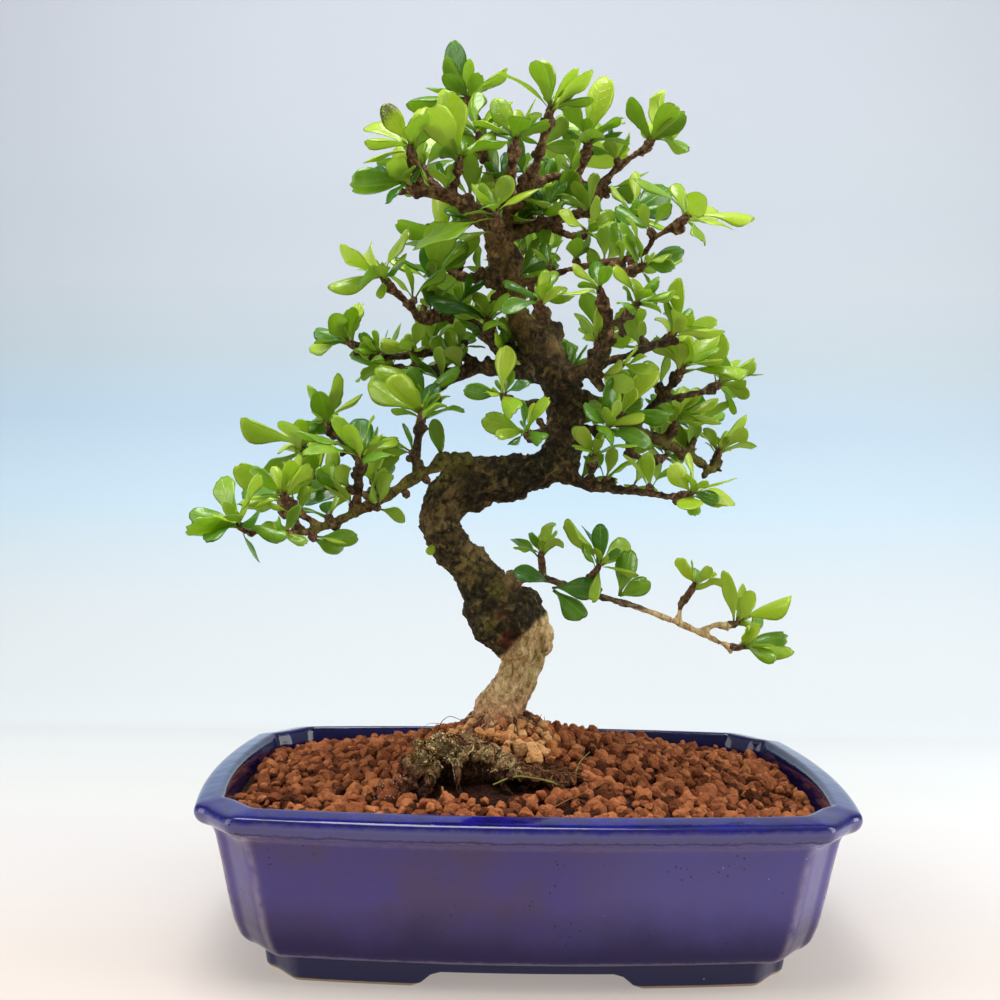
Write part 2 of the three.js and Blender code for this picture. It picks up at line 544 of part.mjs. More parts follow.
// A blade's own points and its triangles. The first four points are its slot's corners.
function bladeSkin(blade, slotPoints) {
  const widest = blade.length * WIDTH_TO_LENGTH;
  const face = (lift) => OUTLINE.map(([u, share]) => bladePoint(blade, u, share * widest, lift));
  const points = [...slotPoints, ...face(-BLADE_THICKNESS / 2), ...face(BLADE_THICKNESS / 2)];
  const run = OUTLINE.map((_, index) => index + 4);
  const low = [1, ...run, 0];
  const high = [2, ...run.map((index) => index + OUTLINE.length), 3];
  const faces = SPLIT.flatMap(([a, b, c]) => [[high[a], high[c], high[b]], [low[a], low[b], low[c]]]);
  for (let i = 0; i + 1 < low.length; i += 1) {
    faces.push([low[i], high[i], high[i + 1]], [low[i], high[i + 1], low[i + 1]]);
  }
  return { points, faces };
}

const SAMPLE_ROWS = [0.14, 0.3, 0.45, 0.62, 0.8, 1];
const SAMPLE_COLUMNS = [-1, -0.5, 0, 0.5, 1];
const CLEARANCE = 0.95;
const OWN_CLEARANCE = 0.7;
const SIDE_CLEARANCE = 0.8;
const END_SLACK = 0.04;
const OWN_SPRAY_FROM = 0.2;
const WOOD_CLEARANCE = 1;
const SOIL_CLEARANCE = 4;
const NEIGHBOUR_REACH = 1.1;
const TINY = 1e-6;

function bladeSamples(blade) {
  return SAMPLE_ROWS.map((u) => SAMPLE_COLUMNS.map((column) =>
    bladePoint(blade, u, column * halfWidth(blade, u), 0)));
}

// Where a point lies on a blade: along it, across it, and above its arched face
function onBlade(blade, point) {
  const from = plus(point, blade.foot, -1);
  const u = dot(from, blade.along) / blade.length;
  const rise = dot(from, blade.upper) - blade.length * BLADE_ARCH * 4 * u * (1 - u);
  return [u, dot(from, blade.side), rise];
}

function overFace(blade, u, across, firstPart) {
  if (u < firstPart || u > 1 + END_SLACK) return false;
  return Math.abs(across) < halfWidth(blade, Math.min(Math.max(u, 0), 1)) + SIDE_CLEARANCE;
}

// Two blades clash where a sample of one lies close to the other's face, or a line between two
// neighbouring samples passes through it. Blades of one spray may meet near their common stem.
function crosses(blade, samples, ownSpray) {
  const firstPart = ownSpray ? OWN_SPRAY_FROM : -END_SLACK;
  const firstRow = ownSpray ? 1 : 0;
  const clearance = ownSpray ? OWN_CLEARANCE : CLEARANCE;
  const placed = samples.map((row) => row.map((point) => onBlade(blade, point)));
  const through = (a, b) => {
    if (a[2] * b[2] >= 0) return false;
    const share = a[2] / (a[2] - b[2]);
    return overFace(blade, a[0] + (b[0] - a[0]) * share, a[1] + (b[1] - a[1]) * share, firstPart);
  };
  for (let row = firstRow; row < placed.length; row += 1) {
    for (let column = 0; column < placed[row].length; column += 1) {
      const here = placed[row][column];
      if (Math.abs(here[2]) < clearance && overFace(blade, here[0], here[1], firstPart)) return true;
      if (row > firstRow && through(placed[row - 1][column], here)) return true;
      if (column > 0 && through(placed[row][column - 1], here)) return true;
    }
  }
  return false;
}

// Whether a line between two points passes through a triangle
function pierces(from, to, [a, b, c]) {
  const line = plus(to, from, -1);
  const one = plus(b, a, -1);
  const two = plus(c, a, -1);
  const turned = cross(line, two);
  const size = dot(one, turned);
  if (Math.abs(size) < TINY) return false;
  const start = plus(from, a, -1);
  const u = dot(start, turned) / size;
  if (u < TINY || u > 1 - TINY) return false;
  const leaned = cross(start, one);
  const v = dot(line, leaned) / size;
  const along = dot(two, leaned) / size;
  return v > TINY && u + v < 1 - TINY && along > TINY && along < 1 - TINY;
}

function boxOf(triangle) {
  return [0, 1, 2].map((axis) => {
    const [a, b, c] = triangle.map((point) => point[axis]);
    return [Math.min(a, b, c), Math.max(a, b, c)];
  });
}

function skinsCross(first, second) {
  const touches = (one, two) =>
    one.every(([low, high], axis) => low <= two[axis][1] && high >= two[axis][0]);
  const edges = ([a, b, c]) => [[a, b], [b, c], [c, a]];
  return first.some(({ triangle, box }) => second.some((other) => touches(box, other.box)
    && (edges(triangle).some(([a, b]) => pierces(a, b, other.triangle))
      || edges(other.triangle).some(([a, b]) => pierces(a, b, triangle)))));
}

function skinOf(points, faces) {
  return faces.map((face) => {
    const triangle = face.map((index) => points[index]);
    return { triangle, box: boxOf(triangle) };
  });
}

function nearRod(point, rod) {
  const line = plus(rod.to, rod.from, -1);
  const from = plus(point, rod.from, -1);
  const share = Math.min(Math.max(dot(from, line) / dot(line, line), 0), 1);
  const away = plus(from, line, -share);
  const reach = rod.start + (rod.end - rod.start) * share + WOOD_CLEARANCE;
  return dot(away, away) < reach * reach;
}

const rods = [];
for (const points of Object.values(LIMBS)) {
  for (let i = 0; i + 1 < points.length; i += 1) {
    rods.push({ from: points[i], to: points[i + 1], start: points[i][3], end: points[i + 1][3] });
  }
}
const stems = Object.fromEntries(Object.keys(SPRAYS).map((name) => [name, sprayStem(name)]));
const stemRods = Object.entries(stems).map(([name, stem]) => ({
  name,
  from: stem.foot,
  to: plus(stem.foot, stem.along, STEM_LENGTH),
  start: STEM_RADIUS,
  end: STEM_RADIUS,
}));
const blades = [];

function fits(name, blade) {
  if (dot(blade.along, blade.slot.facing) < LEAST_FACING) return false;
  const samples = bladeSamples(blade);
  const outer = samples.slice(1).flat();
  if (outer.some(([x, y, z]) => z < soilHeight(x, y) + SOIL_CLEARANCE)) return false;
  const obstacles = [...rods, ...stemRods.filter((rod) => rod.name !== name)];
  if (outer.some((point) => obstacles.some((rod) => nearRod(point, rod)))) return false;
  const neighbours = blades.filter((other) => {
    const away = plus(blade.foot, other.blade.foot, -1);
    const reach = NEIGHBOUR_REACH * (blade.length + other.blade.length);
    return dot(away, away) < reach * reach;
  });
  const clash = neighbours.some((other) => {
    const ownSpray = other.name === name;
    return crosses(other.blade, samples, ownSpray) || crosses(blade, other.samples, ownSpray);
  });
  if (clash) return false;
  const skin = bladeTriangles(name, blade);
  return !skinsCross(skin, stemTriangles(name, blade.slot))
    && !neighbours.some((other) => skinsCross(skin, other.skin));
}

function slotPoints(name, slot) {
  return slot.corners.map(([level, corner]) => stems[name].rings[level][corner]);
}

function bladeTriangles(name, blade) {
  const { points, faces } = bladeSkin(blade, slotPoints(name, blade.slot));
  return skinOf(points, faces);
}

// The stem's own skin, without the slots that blades grow from
function stemTriangles(name, without) {
  const { rings, slots } = stems[name];
  const stalk = [0, 1, 2, 3].map((corner) => {
    const next = (corner + 1) % 4;
    return [rings[0][corner], rings[0][next], rings[1][next], rings[1][corner]];
  });
  const free = slots.filter((slot) => slot !== without && !slot.taken);
  const sides = [...stalk, ...free.map((slot) => slotPoints(name, slot))];
  return sides.flatMap((corners) => skinOf(corners, [[0, 1, 2], [0, 2, 3]]));
}

function placeWhereFree(name, blade) {
  if (!fits(name, blade)) return false;
  blade.slot.taken = true;
  blades.push({ name, blade, samples: bladeSamples(blade), skin: bladeTriangles(name, blade) });
  return true;
}

function facingSlot(stem, along) {
  let best = null;
  for (const slot of stem.slots) {
    const better = best === null || dot(slot.facing, along) > dot(best.facing, along);
    if (!slot.taken && better) best = slot;
  }
  return best;
}

// Known leaves come first, then each spray gets the rest round its stem by the golden angle.
function placeKnown(name, tips, random) {
  const stem = stems[name];
  for (const tip of tips) {
    for (let attempt = 0; attempt < TRIES; attempt += 1) {
      const sway = [random() - 0.5, random() - 0.5, random() - 0.5];
      const reach = plus(tip, stem.foot, -1);
      const far = Math.sqrt(dot(reach, reach)) * KNOWN_SWAY * attempt;
      const aim = plus(tip, sway, far);
      const slot = facingSlot(stem, unit(plus(aim, stem.foot, -1)));
      if (slot !== null && placeWhereFree(name, bladeTo(slot, aim))) break;
    }
  }
}

function placeRest(name, count, length, random) {
  const stem = stems[name];
  const across = squareTo(stem.along);
  const other = cross(stem.along, across);
  const start = 2 * Math.PI * random();
  for (let index = 0; index < count; index += 1) {
    for (let attempt = 0; attempt < TRIES; attempt += 1) {
      const turn = start + index * GOLDEN_ANGLE + TURN_SWAY * attempt * (random() - 0.5);
      const lean = LOWEST_LEAN - (LEAN_RANGE * index) / count + LEAN_SWAY * (random() - 0.5);
      const shrink = (LARGEST - (SHRINK_INWARD * index) / count) * (1 - SHRINK_WHEN_FULL * attempt);
      const size = length * shrink * (0.88 + 0.24 * random());
      const level = plus(times(across, Math.cos(turn)), other, Math.sin(turn));
      const raised = plus(times(stem.along, Math.cos(lean)), level, Math.sin(lean));
      const along = unit(plus(raised, [0, 0, 1], LIGHT_PULL));
      const slot = facingSlot(stem, along);
      if (slot !== null && placeWhereFree(name, bladeTo(slot, plus(slot.centre, along, size)))) break;
    }
  }
}

const KNOWN_SEED = 500;
const REST_SEED = 900;
Object.entries(SPRAYS).forEach(([name, [, , tips]], index) =>
  placeKnown(name, tips, seeded(KNOWN_SEED + index)));
Object.entries(SPRAYS).forEach(([name, [count, length, tips]], index) =>
  placeRest(name, count + 1 - Math.ceil(tips.length / 2), length, seeded(REST_SEED + index)));

// One body for each spray: each blade grows out of the face of the stem that is its slot.
function makeSpray(name) {
  const { rings, slots } = stems[name];
  const points = rings.flat();
  const faces = [[0, 2, 1], [0, 3, 2]];
  const indexOf = ([level, corner]) => 4 * level + corner;
  for (let corner = 0; corner < 4; corner += 1) {
    const next = (corner + 1) % 4;
    faces.push([corner, next, 4 + next], [corner, 4 + next, 4 + corner]);
  }
  for (const slot of slots.filter(({ taken }) => !taken)) {
    const [a, b, c, d] = slot.corners.map(indexOf);
    faces.push([a, b, c], [a, c, d]);
  }
  for (const { blade } of blades.filter((entry) => entry.name === name)) {
    const skin = bladeSkin(blade, slotPoints(name, blade.slot));
    const shift = points.length - 4;
    const roots = blade.slot.corners.map(indexOf);
    points.push(...skin.points.slice(4));
    faces.push(...skin.faces.map((face) =>
      face.map((index) => (index < 4 ? roots[index] : index + shift))));
  }
  return solid(points, faces);
}

// The scene
const bonsai = new THREE.Group();
bonsai.name = 'fukien_tea_bonsai';

function show(name, body, material) {
  const mesh = body.getMesh();
  const geometry = new THREE.BufferGeometry();
  geometry.setAttribute('position', new THREE.BufferAttribute(mesh.vertProperties, 3));
  geometry.setIndex(new THREE.BufferAttribute(mesh.triVerts, 1));
  geometry.computeVertexNormals();
  const part = new THREE.Mesh(geometry, material);
  part.name = name;
  bonsai.add(part);
}

const hollow = makeWood(BELOW_GROUND, 0.45);
show('pot', makePot(), GLAZE);
show('drain_mesh_left', makeDrainMesh(-1), MESH_PLASTIC);
show('drain_mesh_right', makeDrainMesh(1), MESH_PLASTIC);
show('soil', makeSoil().subtract(rootMassSolid(0.6)).subtract(hollow), SOIL);
show('root_mass', rootMassSolid(0).subtract(hollow), ROOT_MASS);
show('trunk_and_branches', makeWood(Object.keys(LIMBS), 0), BARK);
Object.keys(SPRAYS).forEach((name, index) =>
  show(`spray_${name}`, makeSpray(name), LEAF_GREENS[index % LEAF_GREENS.length]));

export default bonsai;
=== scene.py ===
# Fukien tea bonsai in its blue glazed pot.
# Shapes are worked out in millimetres in the part's own frame, +Z up and -Y towards the front,
# and turned into metres when a piece is made.
import math
import bmesh
import bpy
import numpy as np
from mathutils import Matrix, Vector, kdtree, noise


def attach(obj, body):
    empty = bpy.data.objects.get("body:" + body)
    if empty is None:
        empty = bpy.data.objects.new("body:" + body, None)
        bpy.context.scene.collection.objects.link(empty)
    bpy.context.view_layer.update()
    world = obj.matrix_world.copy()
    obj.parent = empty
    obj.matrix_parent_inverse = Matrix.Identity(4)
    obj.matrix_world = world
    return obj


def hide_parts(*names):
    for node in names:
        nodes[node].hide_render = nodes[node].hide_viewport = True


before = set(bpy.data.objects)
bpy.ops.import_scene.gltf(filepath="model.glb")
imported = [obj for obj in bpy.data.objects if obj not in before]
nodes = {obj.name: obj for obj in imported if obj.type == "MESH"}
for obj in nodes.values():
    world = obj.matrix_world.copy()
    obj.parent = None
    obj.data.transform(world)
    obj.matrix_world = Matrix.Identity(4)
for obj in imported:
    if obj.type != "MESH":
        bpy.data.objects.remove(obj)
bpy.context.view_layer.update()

MM = 0.001
MASK = 0xFFFFFFFF


# Seeded numbers, the same run of them as the part's own placing of the leaves
def imul(a, b):
    return (a * b) & MASK


def seeded(seed):
    state = seed & MASK

    def draw():
        nonlocal state
        state = (state + 0x6D2B79F5) & MASK
        mixed = imul(state ^ (state >> 15), 1 | state)
        mixed = ((mixed + imul(mixed ^ (mixed >> 7), 61 | mixed)) & MASK) ^ mixed
        return ((mixed ^ (mixed >> 14)) & MASK) / 4294967296

    return draw


def unit(a):
    return a / math.sqrt(float(np.dot(a, a)))


def vec(*values):
    return np.array(values, dtype=float)


UP = vec(0, 0, 1)


def smooth(low, high, x):
    t = np.clip((x - low) / (high - low), 0, 1)
    return t * t * (3 - 2 * t)


def wobble(points, scale, seed=0.0, octaves=1):
    """Noise in -1..1 at each point, with features of about the given size in millimetres."""
    shift = Vector((seed * 17.3, seed * 9.1, seed * 5.7))
    out = np.empty(len(points))
    for i, p in enumerate(points):
        place = Vector(p) / scale + shift
        value, gain = 0.0, 1.0
        for _ in range(octaves):
            value += gain * noise.noise(place)
            place = place * 2.03
            gain *= 0.5
        out[i] = value
    return out


# The camera, and where in a picture of 1000 by 1000 it sees a point
FOCAL = 1298.1
CAMERA_PLACE = vec(-18.54, -546.12, 187.56)
CAMERA_TURN = np.array(Matrix.Rotation(math.radians(-0.6638), 3, 'Z')
                       @ Matrix.Rotation(math.radians(-0.9518), 3, 'X')
                       @ Matrix.Rotation(math.radians(-1.0045), 3, 'Y'))


def seen(points):
    right, depth, up = CAMERA_TURN.T @ (np.asarray(points) - CAMERA_PLACE).T
    return np.column_stack([500 + FOCAL * right / depth, 500 - FOCAL * up / depth])


# Meshes from points in millimetres
def put_marks(mesh, marks):
    for key, values in marks.items():
        layer = mesh.attributes.new(key, 'FLOAT', 'POINT')
        layer.data.foreach_set('value', np.asarray(values, dtype=np.float32))


def clipped(marks):
    return {key: np.clip(values, 0, 1) for key, values in marks.items()}


def new_mesh(name, points, faces, shade_smooth=True, attributes=None, uv=None, materials=(),
             face_material=None):
    mesh = bpy.data.meshes.new(name)
    mesh.from_pydata((np.asarray(points) * MM).tolist(), [], faces)
    put_marks(mesh, attributes or {})
    if uv is not None:
        layer = mesh.uv_layers.new(name='UVMap')
        corners = np.empty(len(mesh.loops), dtype=np.int32)
        mesh.loops.foreach_get('vertex_index', corners)
        layer.data.foreach_set('uv', np.asarray(uv, dtype=np.float32)[corners].ravel())
    for item in materials:
        mesh.materials.append(item)
    if face_material is not None:
        mesh.polygons.foreach_set('material_index', np.asarray(face_material, dtype=np.int32))
    mesh.polygons.foreach_set('use_smooth', [shade_smooth] * len(mesh.polygons))
    mesh.update()
    return mesh


def new_piece(name, mesh, replaced=()):
    piece = bpy.data.objects.new(name, mesh)
    bpy.context.scene.collection.objects.link(piece)
    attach(piece, "root")
    if replaced:
        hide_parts(*replaced)
    return piece


def grid_faces(rows, columns, closed, start=0):
    """Quads between rows of points, each row a loop or a line."""
    faces = []
    for row in range(rows - 1):
        for column in range(columns if closed else columns - 1):
            after = (column + 1) % columns
            low, high = start + row * columns, start + (row + 1) * columns
            faces.append((low + column, low + after, high + after, high + column))
    return faces


def close_ends(rows, columns, under, over):
    """Triangles that close the first and the last loop of a grid, each round its own middle point."""
    faces, last = [], (rows - 1) * columns
    for i in range(columns):
        after = (i + 1) % columns
        faces += [(under, after, i), (over, last + i, last + after)]
    return faces


def through_modifier(piece, kind, **settings):
    """The mesh of a piece after one modifier, with the modifier used up."""
    item = piece.modifiers.new('step', kind)
    for key, value in settings.items():
        setattr(item, key, value)
    made = bpy.data.meshes.new_from_object(
        piece.evaluated_get(bpy.context.evaluated_depsgraph_get()))
    piece.modifiers.clear()
    piece.data = made
    return made


def numbers_of(items, key):
    flat = np.empty(len(items) * 3, dtype=np.float32)
    items.foreach_get(key, flat)
    return flat.reshape(-1, 3).astype(float)


def points_of(mesh):
    return numbers_of(mesh.vertices, 'co') / MM


def normals_of(mesh):
    return numbers_of(mesh.vertex_normals, 'vector')


def set_points(mesh, points):
    mesh.vertices.foreach_set('co', (np.asarray(points) * MM).astype(np.float32).ravel())
    mesh.update()


def remeshed(piece, material, size):
    """The piece's shapes grown into one skin, with voxels of the given size."""
    voxel = size * MM
    mesh = through_modifier(piece, 'REMESH', mode='VOXEL', voxel_size=voxel)
    mesh.materials.clear()
    mesh.materials.append(material)
    mesh.polygons.foreach_set('use_smooth', [True] * len(mesh.polygons))
    return mesh


def tree_of(points):
    tree = kdtree.KDTree(len(points))
    for i, p in enumerate(points):
        tree.insert(Vector(p), i)
    tree.balance()
    return tree


def patch(points, centre, reach):
    """How strongly each point belongs to a soft patch round a centre."""
    off = (points - np.array(centre)) / np.array(reach)
    return np.exp(-(off ** 2).sum(axis=1))


def patches(points, table):
    """The sum of soft patches, each given by its strength, centre and reach."""
    return sum(strength * patch(points, centre, reach) for strength, centre, reach in table)


def trail(points, centres, reach):
    """A run of equal patches that join without adding up."""
    return np.max([patch(points, centre, reach) for centre in centres], axis=0)


# Materials
def tint(code):
    """A linear colour from a six-digit code."""
    parts = [int(code[i:i + 2], 16) / 255 for i in (0, 2, 4)]
    return tuple(c / 12.92 if c <= 0.04045 else ((c + 0.055) / 1.055) ** 2.4 for c in parts) + (1.0,)


class Look:
    """A material that is built up node by node."""

    def __init__(self, name):
        self.material = bpy.data.materials.new(name)
        self.material.use_nodes = True
        self.tree = self.material.node_tree
        self.tree.nodes.clear()
        self.place = self.add('ShaderNodeTexCoord').outputs['Object']

    def add(self, kind, settings=None, **inputs):
        item = self.tree.nodes.new(kind)
        for key, value in (settings or {}).items():
            setattr(item, key, value)
        for key, value in inputs.items():
            self.put(item.inputs[key.replace('_', ' ')], value)
        return item

    def put(self, socket, value):
        if isinstance(value, bpy.types.NodeSocket):
            self.tree.links.new(value, socket)
        else:
            socket.default_value = value

    def stretched(self, x, y, z):
        return self.add('ShaderNodeMapping', Vector=self.place, Scale=(x, y, z)).outputs[0]

    def noise(self, size, detail=2.0, roughness=0.5, vector=None, distortion=0.0):
        """Noise in 0..1 with features of about the given size in millimetres."""
        item = self.add('ShaderNodeTexNoise', Vector=vector or self.place, Scale=1 / (size * MM),
                        Detail=detail, Roughness=roughness, Distortion=distortion)
        return item.outputs['Fac']

    def cells(self, size):
        item = self.add('ShaderNodeTexVoronoi', Vector=self.place, Scale=1 / (size * MM))
        return item.outputs['Distance']

    def ramp(self, value, *stops):
        item = self.add('ShaderNodeValToRGB', Fac=value)
        marks = item.color_ramp.elements
        while len(marks) < len(stops):
            marks.new(1.0)
        for mark, (at, colour) in zip(marks, stops):
            mark.position = at
            mark.color = tint(colour)
        return item.outputs['Color']

    def mix(self, share, a, b):
        item = self.add('ShaderNodeMix', {'data_type': 'RGBA'})
        self.put(item.inputs[0], share)
        self.put(item.inputs[6], tint(a) if isinstance(a, str) else a)
        self.put(item.inputs[7], tint(b) if isinstance(b, str) else b)
        return item.outputs[2]

    def sum(self, operation, a, b=0.0):
        item = self.add('ShaderNodeMath', {'operation': operation})
        self.put(item.inputs[0], a)
        self.put(item.inputs[1], b)
        return item.outputs[0]

    def plus(self, a, b):
        return self.sum('ADD', a, b)

    def minus(self, a, b):
        return self.sum('SUBTRACT', a, b)

    def times(self, total, *values):
        for value in values:
            total = self.sum('MULTIPLY', total, value)
        return total

    def swing(self, value, reach):
        """A noise in 0..1 turned into one that swings round nought."""
        return self.times(self.minus(value, 0.5), reach)

    def span(self, value, low, high, start=0.0, end=1.0):
        item = self.add('ShaderNodeMapRange', {'interpolation_type': 'SMOOTHSTEP'})
        for index, setting in enumerate((value, low, high, start, end)):
            self.put(item.inputs[index], setting)
        return item.outputs[0]

    def band(self, value, low, full, full_end, high):
        """One between two levels and nought outside them, with soft edges."""
        return self.times(self.span(value, low, full), self.span(value, high, full_end))

    def mark(self, name):
        return self.add('ShaderNodeAttribute', {'attribute_name': name}).outputs['Fac']

    def bump(self, height, depth, strength=1.0, normal=None):
        item = self.add('ShaderNodeBump', Height=height, Distance=depth * MM, Strength=strength)
        if normal is not None:
            self.put(item.inputs['Normal'], normal)
        return item.outputs[0]

    def surface(self, colour, roughness, normal=None, **settings):
        item = self.add('ShaderNodeBsdfPrincipled')
        self.put(item.inputs['Base Color'], colour)
        self.put(item.inputs['Roughness'], roughness)
        if normal is not None:
            self.put(item.inputs['Normal'], normal)
        for key, value in settings.items():
            self.put(item.inputs[key.replace('_', ' ')], value)
        return item.outputs[0]

    def done(self, shader):
        output = self.add('ShaderNodeOutputMaterial')
        self.tree.links.new(shader, output.inputs['Surface'])
        return self.material


# Pot: bowed sides that meet in notched corners. One quarter of the outline is drawn and mirrored.
POT_HALF = (130.0, 92.8)
SIDE_BOW = 5.6
FRONT_BOW = 7.2
CORNER = [(124.4, 67.2), (119, 71.6), (111, 82.6), (108.2, 85.6)]
FLOOR_TOP = 12.5
FLOOR_UNDERSIDE = 8.5
ARCH_HEIGHT = 5.4
DRAIN_SPACING, DRAIN_RADIUS = 50, 9
DRAIN_SIDES, DRAIN_LEVELS = 48, (5, 15)
CORNER_SPAN = 3
RIM_FOOT = 59

# Levels of the glaze's bands in metres: where each starts, is full, is full still, and ends
COVE = (0.0545, 0.0566, 0.0581, 0.0588)
# The lip band is a painted reflection: the rim's outer face drawn in a paler lavender.
LIP_REFLECTION = (0.0588, 0.06, 0.0622, 0.0643)
FOOT_LINE = (0.0098, 0.0106, 0.0114, 0.0124)


def rounded(points, reach, steps=5):
    """A line of points with each inner corner turned into a short curve."""
    points = [np.array(p, dtype=float) for p in points]
    reach = [reach] * len(points) if isinstance(reach, (int, float)) else reach
    line = [points[0]]
    for i in range(1, len(points) - 1):
        before, here, after = points[i - 1], points[i], points[i + 1]
        if reach[i] == 0:
            line.append(here)
            continue
        back, ahead = before - here, after - here
        start = here + unit(back) * min(reach[i], 0.48 * math.sqrt(back @ back))
        end = here + unit(ahead) * min(reach[i], 0.48 * math.sqrt(ahead @ ahead))
        for step in range(steps + 1):
            t = step / steps
            line.append((1 - t) ** 2 * start + 2 * t * (1 - t) * here + t * t * end)
    line.append(points[-1])
    return line


def pot_quarter():
    side = [(CORNER[0][0] + SIDE_BOW * (1 - t * t), CORNER[0][1] * t) for t in np.linspace(0, 1, 16)]
    front = [(CORNER[3][0] * t, CORNER[3][1] + FRONT_BOW * (1 - t * t)) for t in np.linspace(1, 0, 25)]
    line = side + [CORNER[1], CORNER[2]] + front
    reach = [1.5] * len(line)
    reach[15], reach[16], reach[17], reach[18] = 3.2, 2.2, 2.6, 2.4
    plain = rounded(line[12:22], reach[12:22])
    return side[:12] + [tuple(p) for p in plain] + front[4:]


def pot_outline():
    quarter = pot_quarter()
    second = [(-x, y) for x, y in reversed(quarter[:-1])]
    half = quarter + second
    return np.array(half + [(-x, -y) for x, y in half[1:-1]])


OUTLINE = pot_outline()


def pot_loop(inset_x, inset_y, z):
    """The outline at one level: insets from the rim's outline, then the height or heights."""
    scale = ((POT_HALF[0] - inset_x) / POT_HALF[0], (POT_HALF[1] - inset_y) / POT_HALF[1])
    heights = np.broadcast_to(z, len(OUTLINE))
    return np.column_stack([OUTLINE[:, 0] * scale[0], OUTLINE[:, 1] * scale[1], heights])


def arch_lift(loop):
    """How far the foot's lower edge is raised in the openings of its four sides."""
    x, y = np.abs(loop[:, 0]), np.abs(loop[:, 1])
    on_front = y / POT_HALF[1] > x / POT_HALF[0]
    in_front = 1 - smooth(33, 42, x)
    in_side = 1 - smooth(22, 30, y)
    return ARCH_HEIGHT * np.where(on_front, in_front, in_side)


OUTER_PROFILE = [
    (25.5, 19.2, 9.2), (23, 17.4, 9.6), (19.4, 14.6, 11), (17, 13, 13.6), (14.4, 11.4, 20), (12, 10, 31),
    (9.8, 8.6, 42), (7.4, 7.2, 53), (6.2, 6.2, 55.8), (3.8, 3.8, 57.2), (1.9, 1.9, 58.1), (0.55, 0.55, 59.9),
    (0, 0, 61.9), (0.25, 0.25, 63.5), (0.9, 0.9, 64.8), (2.6, 2.6, 65.5),
]
INNER_PROFILE = [(9.2, 9.2, 66.8), (10.6, 10.6, 66), (12, 11.8, 62), (16, 15, 38), (20, 18, 15.5)]
# The foot ring, from where it meets the body down and up again inside: inset and height
FOOT_PROFILE = [(25.7, 8.6), (26.1, 6.2), (26.5, 3.2), (26.8, 1.2), (27.5, 0.15), (29, 0), (33, 0),
                (36.5, 0), (38, 0.8), (38.2, 4), (38.3, 8.5)]
FOOT_NARROWER = 6.5


def pot_levels():
    """Levels up the outside, over the rim and down the inside, closely set where they curve."""
    line = OUTER_PROFILE + INNER_PROFILE
    curved = rounded(line, 1.6, 3)
    levels = [curved[0]]
    for level in curved[1:]:
        gap = level - levels[-1]
        parts = max(1, int(math.sqrt(gap @ gap) // 4))
        for _ in range(parts):
            levels.append(levels[-1] + gap / parts)
    return levels


def make_pot(glaze):
    levels = pot_levels()
    foot = []
    for inset, z in FOOT_PROFILE:
        loop = pot_loop(inset, inset - FOOT_NARROWER, 0)
        loop[:, 2] = z + arch_lift(loop) * np.clip(1 - z / FOOT_PROFILE[0][1], 0, 1)
        foot.append(loop)
    loops = list(reversed(foot)) + [pot_loop(*level) for level in levels]
    count = len(OUTLINE)
    floor = pot_loop(24, 22, FLOOR_TOP)
    points = np.concatenate(loops + [[[0, 0, FLOOR_UNDERSIDE]], [[0, 0, FLOOR_TOP]], floor])
    faces = grid_faces(len(loops), count, True)
    under, over = len(loops) * count, len(loops) * count + 1
    last = (len(loops) - 1) * count
    for i in range(count):
        after = (i + 1) % count
        faces.append((under, after, i))
        faces.append((last + i, last + after, over + 1 + after, over + 1 + i))
        faces.append((over, over + 1 + i, over + 1 + after))
    mesh = new_mesh('pot_glazed', points, faces, attributes=pot_marks(loops), materials=(glaze,))
    drill(new_piece('pot_glazed', mesh, ['pot']))


def pot_marks(loops):
    """Where the glaze thins on the body's corners, and which points are past the rim."""
    count = len(OUTLINE)
    turn = np.zeros(count)
    for i in range(count):
        back = OUTLINE[i] - OUTLINE[i - CORNER_SPAN]
        ahead = OUTLINE[(i + CORNER_SPAN) % count] - OUTLINE[i]
        turn[i] = max(0.0, (back[0] * ahead[1] - back[1] * ahead[0])
                      / (np.linalg.norm(back) * np.linalg.norm(ahead)))
    turn = np.clip(turn * 1.6, 0, 1) ** 2
    tall = [loop[:, 2].max() for loop in loops]
    rim = int(np.argmax(tall))
    ridge = [turn * (index < rim and tall[index] < RIM_FOOT) for index in range(len(loops))]
    inner = [np.full(count, float(index > rim)) for index in range(len(loops))]
    inner = np.concatenate(inner + [np.ones(count + 2)])
    inner[len(loops) * count] = 0
    return {'ridge': np.concatenate(ridge + [np.zeros(count + 2)]), 'inner': inner}


def drill(body):
    """The two drainage holes, through the floor."""
    sides = DRAIN_SIDES
    for middle in (-DRAIN_SPACING, DRAIN_SPACING):
        ring = [(middle + DRAIN_RADIUS * math.cos(a), DRAIN_RADIUS * math.sin(a))
                for a in np.linspace(0, 2 * math.pi, sides + 1)[:-1]]
        points = [(x, y, z) for z in DRAIN_LEVELS for x, y in ring]
        faces = grid_faces(2, sides, True) + [tuple(reversed(range(sides))), tuple(range(sides, 2 * sides))]
        tool = bpy.data.objects.new('drain_tool', new_mesh('drain_tool', points, faces))
        bpy.context.scene.collection.objects.link(tool)
        through_modifier(body, 'BOOLEAN', operation='DIFFERENCE', solver='EXACT', object=tool)
        bpy.data.objects.remove(tool)


